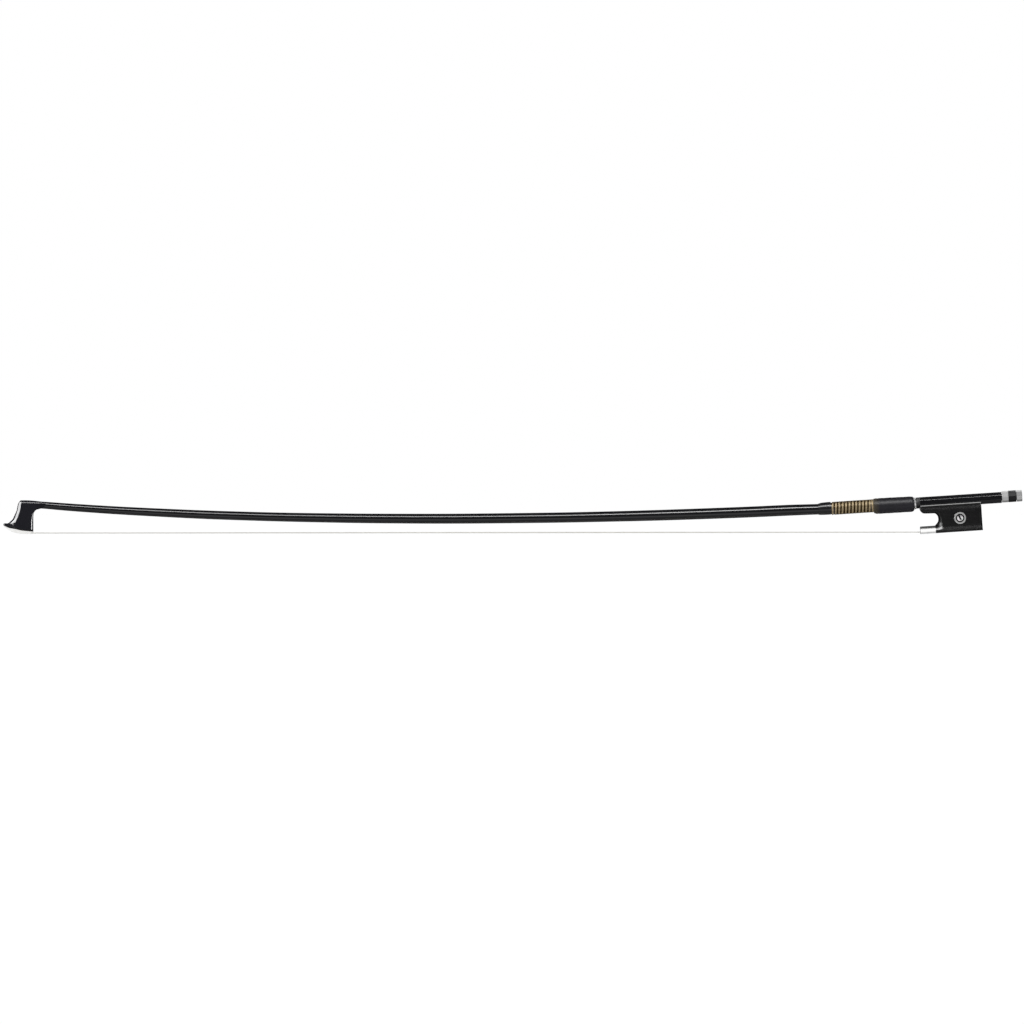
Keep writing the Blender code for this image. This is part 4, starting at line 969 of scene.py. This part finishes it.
def inside(u, w, margin):
    a, b = loop, np.roll(loop, -1, axis=0)
    crosses = ((a[:, 1] > w) != (b[:, 1] > w))
    with np.errstate(divide="ignore", invalid="ignore"):
        at_u = (b[:, 0] - a[:, 0]) * (w - a[:, 1]) / (b[:, 1] - a[:, 1]) + a[:, 0]
    if not (np.sum(crosses & (u < at_u)) % 2):
        return False
    d = b - a
    t = np.clip(((u - a[:, 0]) * d[:, 0] + (w - a[:, 1]) * d[:, 1]) / np.maximum(1e-12, (d ** 2).sum(1)), 0, 1)
    near = np.hypot(a[:, 0] + d[:, 0] * t - u, a[:, 1] + d[:, 1] * t - w).min()
    return near > margin


EYE_U, EYE_W, SEAT_R, SEAT_DEPTH = -31.3, -13.0, 4.38, 1.25
LEAN = math.atan((float(section(-14.0)) - float(section(-12.0))) / 2)
EYE_V = float(section(EYE_W))


def eye_point(sign, r, k, sides, h):
    """A point of a circle round the eye's axis on one side of the frog, h proud of its face."""
    a = 2 * math.pi * k / sides
    n = (0.0, sign * math.cos(LEAN), math.sin(LEAN))
    t2 = (0.0, -sign * math.sin(LEAN), math.cos(LEAN))
    return (EYE_U + r * math.cos(a), sign * EYE_V + n[1] * h + t2[1] * r * math.sin(a),
            EYE_W + n[2] * h + t2[2] * r * math.sin(a))


def disc(sign, profile, sides=64, closed=True):
    """A (radius, height) profile turned round the eye's axis on one side of the frog."""
    rings = [[from_handle(*eye_point(sign, r, k, sides, h)) for k in range(sides)] for r, h in profile]
    if closed:
        rings.append(rings[0])
    return skin(rings, closed_ends=not closed)


points = [Vector(p) for p in side_loop]
m = len(points)
for r, sides in ((SEAT_R, 64), (4.72, 64), (5.1, 56), (5.6, 48), (6.2, 40)):
    for k in range(sides):
        u, _, w = eye_point(1, r, k + (0.5 if sides == 56 else 0.0), sides, 0.0)
        points.append(Vector((u, w)))
for i in range(60):
    for j in range(34):
        u, w = -60.3 + i * 0.76 + (j % 2) * 0.38, -22.7 + j * 0.6
        if inside(u, w, 0.28) and math.hypot(u - EYE_U, w - EYE_W) > 6.6:
            points.append(Vector((u, w)))
loops = [(i, (i + 1) % m) for i in range(m)] + [(m + k, m + (k + 1) % 64) for k in range(64)]
cdt_verts, _, cdt_faces, *_ = delaunay_2d_cdt(points, loops, [], 1, 1e-6)
for sign in (-1, 1):
    ids = [vert(p[0], sign * float(section(p[1])), p[1]) for p in cdt_verts]
    for f in cdt_faces:
        cu, cw = sum(cdt_verts[k][0] for k in f) / 3, sum(cdt_verts[k][1] for k in f) / 3
        tri = list(dict.fromkeys(ids[k] for k in f))
        if len(tri) == 3 and math.hypot(cu - EYE_U, cw - EYE_W) > SEAT_R * 0.999:
            faces.append(tuple(tri))
    rim, foot = [], []
    for k in range(64):
        u, _, w = eye_point(1, SEAT_R, k, 64, 0.0)
        rim.append(vert(u, sign * float(section(w)), w))
        foot.append(vert(*eye_point(sign, SEAT_R, k, 64, -SEAT_DEPTH)))
    for k in range(64):
        j = (k + 1) % 64
        faces.append((rim[k], rim[j], foot[j], foot[k]))
    faces.append(tuple(foot))
frog = mesh_object("frog_block", verts, faces, "ebony", "frog", 30, True)


def d_points(inset, floor_inset, n=28, corner=0.25):
    """(v, w) of the ferrule's section: flat floor, upright sides, elliptical top."""
    half, top, floor = D_HALF - inset, D_TOP - inset, FLOOR + floor_inset
    c = corner
    pts = [(half - c, floor), (half - c * 0.3, floor + c * 0.3), (half, floor + c), (half, D_SHOULDER)]
    for i in range(1, n):
        t = math.pi * i / n
        pts.append((half * math.cos(t), D_SHOULDER + (top - D_SHOULDER) * math.sin(t)))
    return pts + [(-half, D_SHOULDER), (-half, floor + c), (-half + c * 0.3, floor + c * 0.3), (-half + c, floor)]


TONGUE_BOTTOM = -19.6
inset = 0.62
tongue = [(v, w) for v, w in d_points(inset, 0.0) if w > TONGUE_BOTTOM]
reach = (D_HALF - inset) * math.sqrt(1 - ((TONGUE_BOTTOM - D_SHOULDER) / (D_TOP - inset - D_SHOULDER)) ** 2)
tongue = [(reach, TONGUE_BOTTOM)] + tongue + [(-reach, TONGUE_BOTTOM)]
cut(frog, tool(*prism(tongue, -60.2, -48.1)), how="UNION")

SLIDE = (-49.4, -19.6)
CHANNEL_TOP = -21.35


def saddle(apothem, top):
    t = math.tan(math.pi / 8)
    return [(apothem * t, -apothem), (apothem * math.sqrt(2) + top, top)]


right = saddle(4.75, 1.0)
channel = tool(*prism(right + [(-v, w) for v, w in reversed(right)], -70, -10))
slide_channel = tool(*prism([(3.65, FLOOR - 1), (4.6, CHANNEL_TOP), (-4.6, CHANNEL_TOP), (-3.65, FLOOR - 1)],
                            -51.0, SLIDE[1] + 0.2))
hair_channel = box_tool((-51.0, -5.5, CHANNEL_TOP - 0.3), (-43.0, 5.5, -20.1), True)
frog_mortise = box_tool((-44.3, -4.2, CHANNEL_TOP - 0.5), (-36.9, 4.2, -14.5), True)


def upright(radius, u, lo, hi, sides=32):
    return tool(*skin([[from_handle(u + radius * math.cos(2 * math.pi * k / sides),
                                    radius * math.sin(2 * math.pi * k / sides), w) for k in range(sides)]
                       for w in (lo, hi)]))


cut(frog, channel, slide_channel, hair_channel, frog_mortise, upright(1.9, -36.0, -12.0, -2.0),
    upright(0.72, -55.0, -7.1, -3.0, 16), upright(0.72, -20.0, -8.6, -3.0, 16))

# eyes: a metal ring and a pearl let into each side, with ebony between them
for side, sign in (("left", -1), ("right", 1)):
    ring_profile = [(4.33, -1.1), (4.33, -0.06), (4.3, 0.02), (4.21, 0.06), (4.05, 0.075), (3.28, 0.075),
                    (3.2, 0.06), (3.15, 0.0), (3.13, -0.08), (3.13, -1.1)]
    ob = mesh_object("eye_ring_turned_" + side, *disc(sign, ring_profile), "nickel", "frog", 50)
    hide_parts("eye_ring_" + side)
    seat_profile = [(3.1, -1.2), (3.1, -0.03), (3.06, 0.01), (2.95, 0.02), (2.42, 0.02), (2.31, 0.01),
                    (2.27, -0.03), (2.27, -1.2)]
    mesh_object("eye_seat_" + side, *disc(sign, seat_profile), "ebony", "frog", 50)
    pearl_profile = [(0.25, 0.14), (0.9, 0.13), (1.5, 0.105), (1.9, 0.06), (2.13, 0.0), (2.2, -0.06),
                     (2.23, -0.14), (2.23, -1.1)]
    ob = mesh_object("eye_pearl_turned_" + side, *disc(sign, pearl_profile, closed=False), "pearl_eye", "frog", 50)
    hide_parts("eye_pearl_" + side)
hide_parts("frog_body")

# lining of the saddle with its lips
LIP_TOP, LIP_LOW, LIP_HALF = -2.2, -2.85, 4.76
inner_side, outer_side = saddle(4.2, LIP_TOP), saddle(4.65, LIP_LOW)
e = 0.1
right = [inner_side[0], (inner_side[1][0] - e, LIP_TOP - e), (inner_side[1][0] + e, LIP_TOP),
         (LIP_HALF - e * 1.3, LIP_TOP), (LIP_HALF - e * 0.3, LIP_TOP - e * 0.5), (LIP_HALF, LIP_TOP - e * 1.5),
         (LIP_HALF, LIP_LOW + e * 0.6), (LIP_HALF - e * 0.5, LIP_LOW), outer_side[1], outer_side[0]]
lining = right + [(-v, w) for v, w in reversed(right)]
ob = mesh_object("saddle_lining", *prism(lining, -59.6, -15.4), "nickel", "frog", 35, True)
cut(ob, upright(1.9, -36.0, -12.0, -2.0), upright(0.72, -55.0, -7.1, -3.0, 16),
    upright(0.72, -20.0, -8.6, -3.0, 16), smooth=35)
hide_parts("underslide")

# ferrule
def ferrule_ring(u, inset, floor_inset, corner):
    return [from_handle(u, v, w) for v, w in d_points(inset, floor_inset, 40, corner)]


rings = [ferrule_ring(-60.8, 0.16, 0.16, 0.25), ferrule_ring(-60.76, 0.07, 0.07, 0.25),
         ferrule_ring(-60.66, 0.015, 0.015, 0.25), ferrule_ring(-60.5, 0.0, 0.0, 0.25)]
rings += [ferrule_ring(u, 0.0, 0.0, 0.25) for u in np.linspace(-59.5, -50.9, 10)]
rings += [ferrule_ring(-49.85, 0.0, 0.0, 0.25), ferrule_ring(-49.67, 0.012, 0.012, 0.25),
          ferrule_ring(-49.61, 0.05, 0.05, 0.25), ferrule_ring(-49.61, 0.5, 0.5, 0.2),
          ferrule_ring(-60.72, 0.5, 0.5, 0.2), ferrule_ring(-60.8, 0.42, 0.42, 0.2)]
rings.append(rings[0])
ob = mesh_object("ferrule_shell", *skin(rings, closed_ends=False), "ferrule_bright", "frog", 40)
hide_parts("ferrule")

# pearl slide in its dovetail
def slide_half(w):
    f = (w - FLOOR + 1) / (CHANNEL_TOP - FLOOR + 1)
    return 3.65 + 0.95 * f - 0.12


rings = []
for u, s in ((SLIDE[0], 0.1), (SLIDE[0] + 0.1, 0.0)) + tuple((float(x), 0.0) for x in np.linspace(-48, -21, 12)) + (
        (SLIDE[1] - 0.1, 0.0), (SLIDE[1], 0.1)):
    low, high = FLOOR + s * 0.5, -22.1
    a, b = slide_half(low) - s, slide_half(high) - s
    pts = [(a - 0.12, low), (a - 0.03, low + 0.03), (a + 0.02, low + 0.12), (b, high)]
    rings.append([from_handle(u, v, w) for v, w in pts + [(-v, w) for v, w in reversed(pts)]])
ob = mesh_object("pearl_plate", *skin(rings), "pearl", "frog", 40)
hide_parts("pearl_slide")

# ------------------------------------------------------------------ button
EDGE_UP = math.pi / 8


def button_ring(u, apothem):
    return [from_handle(u, v, w + SCREW_W) for v, w in octagon_points(apothem, EDGE_UP, 0.16)]


def button_round(u, radius):
    return [from_handle(u, v, w + SCREW_W) for v, w in round_points(radius, EDGE_UP)]


A = 7.75 / 2
outer = [(0.3, A - 0.2), (0.34, A - 0.09), (0.45, A - 0.02), (0.6, A), (1.0, A), (1.06, A - 0.09),
         (1.2, A - 0.11), (1.34, A - 0.09), (1.4, A), (2.4, A), (3.4, A), (4.25, A), (4.31, A - 0.08),
         (4.41, A - 0.08), (4.47, A), (4.85, A), (4.97, A - 0.03), (5.05, A - 0.12)]
rings = [button_round(0.9, 2.7), button_round(0.3, 2.7)] + [button_ring(u, a) for u, a in outer]
rings += [button_round(5.05, 3.3), button_round(0.9, 3.3)]
rings.append(rings[0])
ob = mesh_object("button_front_cap", *skin(rings, closed_ends=False), "nickel", "button_screw", 35, True)
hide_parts("button_ring_front")
outer = [(10.98, A - 0.12), (11.06, A - 0.03), (11.15, A), (11.43, A), (11.49, A - 0.08), (11.59, A - 0.08),
         (11.65, A), (12.6, A), (13.6, A), (14.1, A), (14.16, A - 0.09), (14.3, A - 0.11), (14.44, A - 0.09),
         (14.5, A), (14.8, A - 0.02), (14.97, A - 0.1), (15.07, A - 0.24)]
rings = [button_round(10.98, 3.3)] + [button_ring(u, a) for u, a in outer]
rings += [button_round(15.07, 3.42), button_round(14.98, 3.3)]
rings.append(rings[0])
ob = mesh_object("button_rear_cap", *skin(rings, closed_ends=False), "nickel", "button_screw", 35, True)
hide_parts("button_ring_rear")
C = 7.85 / 2
rings = [button_round(11.75, 1.82), button_round(4.6, 1.82), button_round(4.6, 2.75), button_round(1.05, 2.75),
         button_round(1.05, 3.2), button_round(5.11, 3.2), button_ring(5.11, C - 0.14), button_ring(5.17, C - 0.04),
         button_ring(5.3, C)]
rings += [button_ring(float(u), C) for u in np.linspace(6.2, 9.7, 5)]
rings += [button_ring(10.5, C), button_ring(10.61, C - 0.04), button_ring(10.67, C - 0.16),
          button_round(10.67, 3.0), button_round(10.95, 3.0), button_round(14.6, 3.2), button_round(14.76, 3.12), button_round(14.82, 2.9),
          button_round(14.9, 1.6), button_round(14.92, 0.5)]
ob = mesh_object("button_ebony", *skin(rings), "ebony", "button_screw", 35, True)
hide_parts("button_core")

# ------------------------------------------------------------------ hair: separate strands
TIP_X, TIP_Z = -353.7, 0.72
mouth = Vector(from_handle(-61.4, 0, -21.45))
inner_end = Vector(from_handle(-45.0, 0, -20.93))
bend = Vector(from_handle(-50.1, 0, -20.98))


def strands(count_across, layers, seed):
    rng = random.Random(seed)
    verts, faces = [], []
    sides = 5
    xs = [TIP_X, TIP_X + 4, TIP_X + 12, TIP_X + 30]
    n = 22
    xs += [TIP_X + 30 + (mouth.x - 30 - TIP_X - 30) * i / n for i in range(1, n + 1)]
    xs += [mouth.x - 12, mouth.x - 4, mouth.x]
    path = [(x, TIP_Z + (mouth.z - TIP_Z) * (x - TIP_X) / (mouth.x - TIP_X)) for x in xs]
    path += [(bend.x, bend.z), (inner_end.x, inner_end.z)]
    for layer in range(layers):
        for k in range(count_across):
            f = (k + 0.5 + rng.uniform(-0.35, 0.35)) / count_across * 2 - 1
            zoff = (layer + 0.5) / layers - 0.5
            zoff = zoff * 0.74 + rng.uniform(-0.05, 0.05)
            r = rng.uniform(0.075, 0.105)
            drift = rng.uniform(-0.16, 0.16)
            phase, sway = rng.uniform(0, 6.28), rng.uniform(0.02, 0.10)
            lift = rng.uniform(-0.06, 0.06)
            rings = []
            for x, z in path:
                t = min(1.0, (x - TIP_X) / (mouth.x - TIP_X))
                half = 3.45 + (4.95 - 3.45) * t
                if x > mouth.x + 5:
                    half = 4.4
                free = math.sin(math.pi * max(0.0, min(1.0, t)))
                y = f * half + free * (drift + sway * math.sin(phase + t * 9.0))
                zz = z + zoff + free * (lift + 0.03 * math.sin(phase * 2 + t * 7.0))
                rings.append([(x, y + r * math.cos(2 * math.pi * s / sides + phase),
                               zz + r * math.sin(2 * math.pi * s / sides + phase)) for s in range(sides)])
            v, fcs = skin(rings)
            base = len(verts)
            verts += v
            faces += [tuple(base + i for i in fc) for fc in fcs]
    return verts, faces


hair_ob = mesh_object("hair_strands", *strands(44, 4, 7), "horsehair", None, 0)
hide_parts("hair")
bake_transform(hair_ob)

# ------------------------------------------------------------------ stage, light, camera
scene = bpy.context.scene
scene.view_settings.view_transform = "Standard"

bpy.ops.mesh.primitive_plane_add(size=160.0, location=(0, 0, -0.0004))
floor = bpy.context.object
floor.name = "floor"
fm = Nodes("floor_white")
fm.main(color=fm.mix(fm.noise(fm.coords((1, 1, 1)), 3, 2), (0.595, 0.595, 0.595, 1), (0.605, 0.605, 0.605, 1)),
        rough=0.9, spec=0.0)
fm.bsdf.inputs["Emission Color"].default_value = (1, 1, 1, 1)
fm.bsdf.inputs["Emission Strength"].default_value = 0.40
floor.data.materials.append(fm.mat)
floor.visible_glossy = False

world = bpy.data.worlds.new("studio")
scene.world = world
world.use_nodes = True
wt = world.node_tree
wt.nodes.clear()


def wnode(kind, inputs=None, **attrs):
    n = wt.nodes.new(kind)
    for k, v in attrs.items():
        setattr(n, k, v)
    for k, v in (inputs or {}).items():
        if isinstance(v, bpy.types.NodeSocket):
            wt.links.new(v, n.inputs[k])
        else:
            n.inputs[k].default_value = v
    return n


def wmath(op, a, b=0.0):
    return wnode("ShaderNodeMath", {0: a, 1: b}, operation=op).outputs[0]


coord = wnode("ShaderNodeTexCoord")
xyz = wnode("ShaderNodeSeparateXYZ", {0: coord.outputs["Generated"]})
# height of the direction round the X axis: 0 towards -Y, +0.25 straight up, -0.25 straight down
front = wmath("MULTIPLY", xyz.outputs["Y"], -1.0)
angle = wmath("DIVIDE", wmath("ARCTAN2", xyz.outputs["Z"], front), 2 * math.pi)
fac = wmath("ADD", angle, 0.5)


def band_ramp(stops, fac):
    n = wnode("ShaderNodeValToRGB", {"Fac": fac})
    r = n.color_ramp
    while len(r.elements) < len(stops):
        r.elements.new(0.5)
    for e, (deg, g) in zip(r.elements, stops):
        e.position = deg / 360 + 0.5
        e.color = (g * 0.99, g * 0.99, g, 1)
    return n.outputs["Color"]


# what glossy surfaces mirror: a dim room with a brighter band low down in front
GLOSS = ((-180, 0.03), (-150, 0.02), (-125, 0.05), (-105, 0.18), (-80, 0.28), (-60, 0.34), (-45, 0.42),
         (-34, 0.78), (-20, 0.88), (-12, 0.45), (-4, 0.12), (6, 0.07), (25, 0.10), (42, 0.30), (60, 0.30),
         (75, 0.18), (95, 0.08), (115, 0.03), (140, 0.02), (160, 0.02), (180, 0.03))
gloss = band_ramp(GLOSS, fac)


def patch(direction, inner, outer, strength):
    """A soft round lamp far off in one direction, for reflections only."""
    d = Vector(direction).normalized()
    dot = wnode("ShaderNodeVectorMath", {0: coord.outputs["Generated"], 1: tuple(d)}, operation="DOT_PRODUCT")
    m = wnode("ShaderNodeMapRange", {"Value": dot.outputs["Value"], "From Min": math.cos(math.radians(outer)),
                                     "From Max": math.cos(math.radians(inner)), "To Max": strength})
    return m.outputs["Result"]


lamps = wmath("ADD", patch((-0.94, 0.03, 0.31), 14, 24, 0.4), 0.0)
lamps = wmath("ADD", lamps, patch((-0.70, 0.05, 0.70), 9, 17, 9.0))
lamp_col = wnode("ShaderNodeCombineXYZ", {0: lamps, 1: lamps, 2: lamps}).outputs[0]
gloss = wnode("ShaderNodeVectorMath", {0: gloss, 1: lamp_col}, operation="ADD").outputs["Vector"]
bg_gloss = wnode("ShaderNodeBackground", {"Color": gloss, "Strength": 1.0})
up = wmath("MAXIMUM", xyz.outputs["Z"], 0.0)
soft = wmath("ADD", wmath("MULTIPLY", up, 0.45), 0.75)
bg_soft = wnode("ShaderNodeBackground", {"Color": (0.98, 0.985, 1.0, 1), "Strength": soft})
bg_seen = wnode("ShaderNodeBackground", {"Color": (1, 1, 1, 1), "Strength": 1.0})
path = wnode("ShaderNodeLightPath")
mix_gloss = wnode("ShaderNodeMixShader", {0: path.outputs["Is Glossy Ray"], 1: bg_soft.outputs[0],
                                          2: bg_gloss.outputs[0]})
mix_seen = wnode("ShaderNodeMixShader", {0: path.outputs["Is Camera Ray"], 1: mix_gloss.outputs[0],
                                         2: bg_seen.outputs[0]})
out = wnode("ShaderNodeOutputWorld", {0: mix_seen.outputs[0]})


def lamp(name, phi, half, radiance, receivers, along=None, length=3.6):
    """A long lamp at angle phi round the bow, half its width in degrees, lighting only the named pieces."""
    data = bpy.data.lights.new(name, "AREA")
    data.shape = "RECTANGLE"
    away, phi = 1.6, math.radians(phi)
    data.size, data.size_y = length, 2 * away * math.tan(math.radians(half))
    data.energy = radiance * math.pi * data.size * data.size_y
    ob = bpy.data.objects.new(name, data)
    scene.collection.objects.link(ob)
    ob.location = (0, -away * math.cos(phi), 0.015 + away * math.sin(phi))
    ob.rotation_euler = (Vector((0, 0, 0.015)) - ob.location).to_track_quat("-Z", "Y").to_euler()
    ob.visible_diffuse = False
    ob.visible_camera = False
    coll = bpy.data.collections.new(name + "_lit")
    for piece in receivers:
        coll.objects.link(bpy.data.objects[piece])
    ob.light_linking.receiver_collection = coll
    if along:
        data.use_nodes = True
        t = data.node_tree
        geo = t.nodes.new("ShaderNodeNewGeometry")
        sep = t.nodes.new("ShaderNodeSeparateXYZ")
        ramp = t.nodes.new("ShaderNodeValToRGB")
        em = t.nodes["Emission"]
        t.links.new(geo.outputs["Parametric"], sep.inputs[0])
        t.links.new(sep.outputs["X"], ramp.inputs["Fac"])
        t.links.new(ramp.outputs["Color"], em.inputs["Color"])
        r = ramp.color_ramp
        while len(r.elements) < len(along):
            r.elements.new(0.5)
        for e, (x, g) in zip(r.elements, along):
            e.position = x / length + 0.5
            e.color = (g, g, g, 1)
    return ob


BLACK = ["stick_body", "frog_block", "leather_grip", "bound_sleeve"]
METAL = ["nickel_grip_ring", "saddle_lining", "eye_ring_turned_left", "eye_ring_turned_right",
         "button_front_cap"]
lamp("strip_front", 50, 8, 21.0, BLACK,
     ((-1.0, 0.7), (-0.36, 0.7), (-0.30, 0.95), (-0.229, 0.6), (-0.156, 0.55), (-0.046, 0.65), (0.064, 0.8),
      (0.173, 1.0), (0.25, 1.0), (1.0, 0.9)))
lamp("strip_winding", 48, 30, 1.3, ["gold_winding", "black_winding"])
lamp("metal_front", 18, 38, 0.32, METAL)
lamp("rear_cap_front", 25, 34, 0.12, ["button_rear_cap"])
lamp("button_strip", 45, 12, 2.2, ["button_ebony"])
lamp("ferrule_front", 48, 46, 1.05, ["ferrule_shell"])
lamp("metal_top", 135, 24, 0.75, METAL + ["button_rear_cap", "button_ebony"])
lamp("metal_low", -135, 20, 0.2, METAL + ["button_rear_cap", "ferrule_shell"])



def end_lamp(name, direction, half, radiance, receivers, away=6.0, seen_from=(0.0, 0.0, 0.01)):
    """A square lamp in one direction as seen from a point, half its width in degrees."""
    data = bpy.data.lights.new(name, "AREA")
    data.shape = "SQUARE"
    data.size = 2 * away * math.tan(math.radians(half))
    data.energy = radiance * math.pi * data.size ** 2
    ob = bpy.data.objects.new(name, data)
    scene.collection.objects.link(ob)
    d = Vector(direction).normalized()
    ob.location = d * away + Vector(seen_from)
    ob.rotation_euler = d.to_track_quat("Z", "Y").to_euler()
    ob.visible_diffuse = False
    ob.visible_camera = False
    coll = bpy.data.collections.new(name + "_lit")
    for piece in receivers:
        coll.objects.link(bpy.data.objects[piece])
    ob.light_linking.receiver_collection = coll
    return ob


end_lamp("head_front", (-0.94, 0.03, 0.31), 20, 14.0, ["stick_body"], 0.7, (-0.361, 0.0, 0.018))
end_lamp("end_right", (0.995, 0.0, 0.02), 13, 20.0, ["stick_body"])
end_lamp("frog_above", (-0.12, -0.48, 0.87), 10, 22.0, ["frog_block"])
end_lamp("frog_left", (-0.612, -0.612, 0.50), 9, 12.0, ["frog_block"])
end_lamp("frog_throat", (-0.97, -0.22, 0.10), 15, 10.0, ["frog_block"])
end_lamp("frog_corner", (0.53, -0.85, 0.0), 5, 1.6, ["frog_block"])

camera = bpy.data.cameras.new("camera")
camera.sensor_width = 36
camera.lens = 600
camera.clip_start, camera.clip_end = 0.1, 120
WIDTH = 1024 * 0.7311 * MM
distance = camera.lens / camera.sensor_width * WIDTH
cam = bpy.data.objects.new("camera", camera)
scene.collection.objects.link(cam)
cam.location = ((512 - 512.9) * 0.7311 * MM, -distance, (534.0 - 512) * 0.7311 * MM)
cam.rotation_euler = (math.pi / 2, 0, 0)
scene.camera = cam
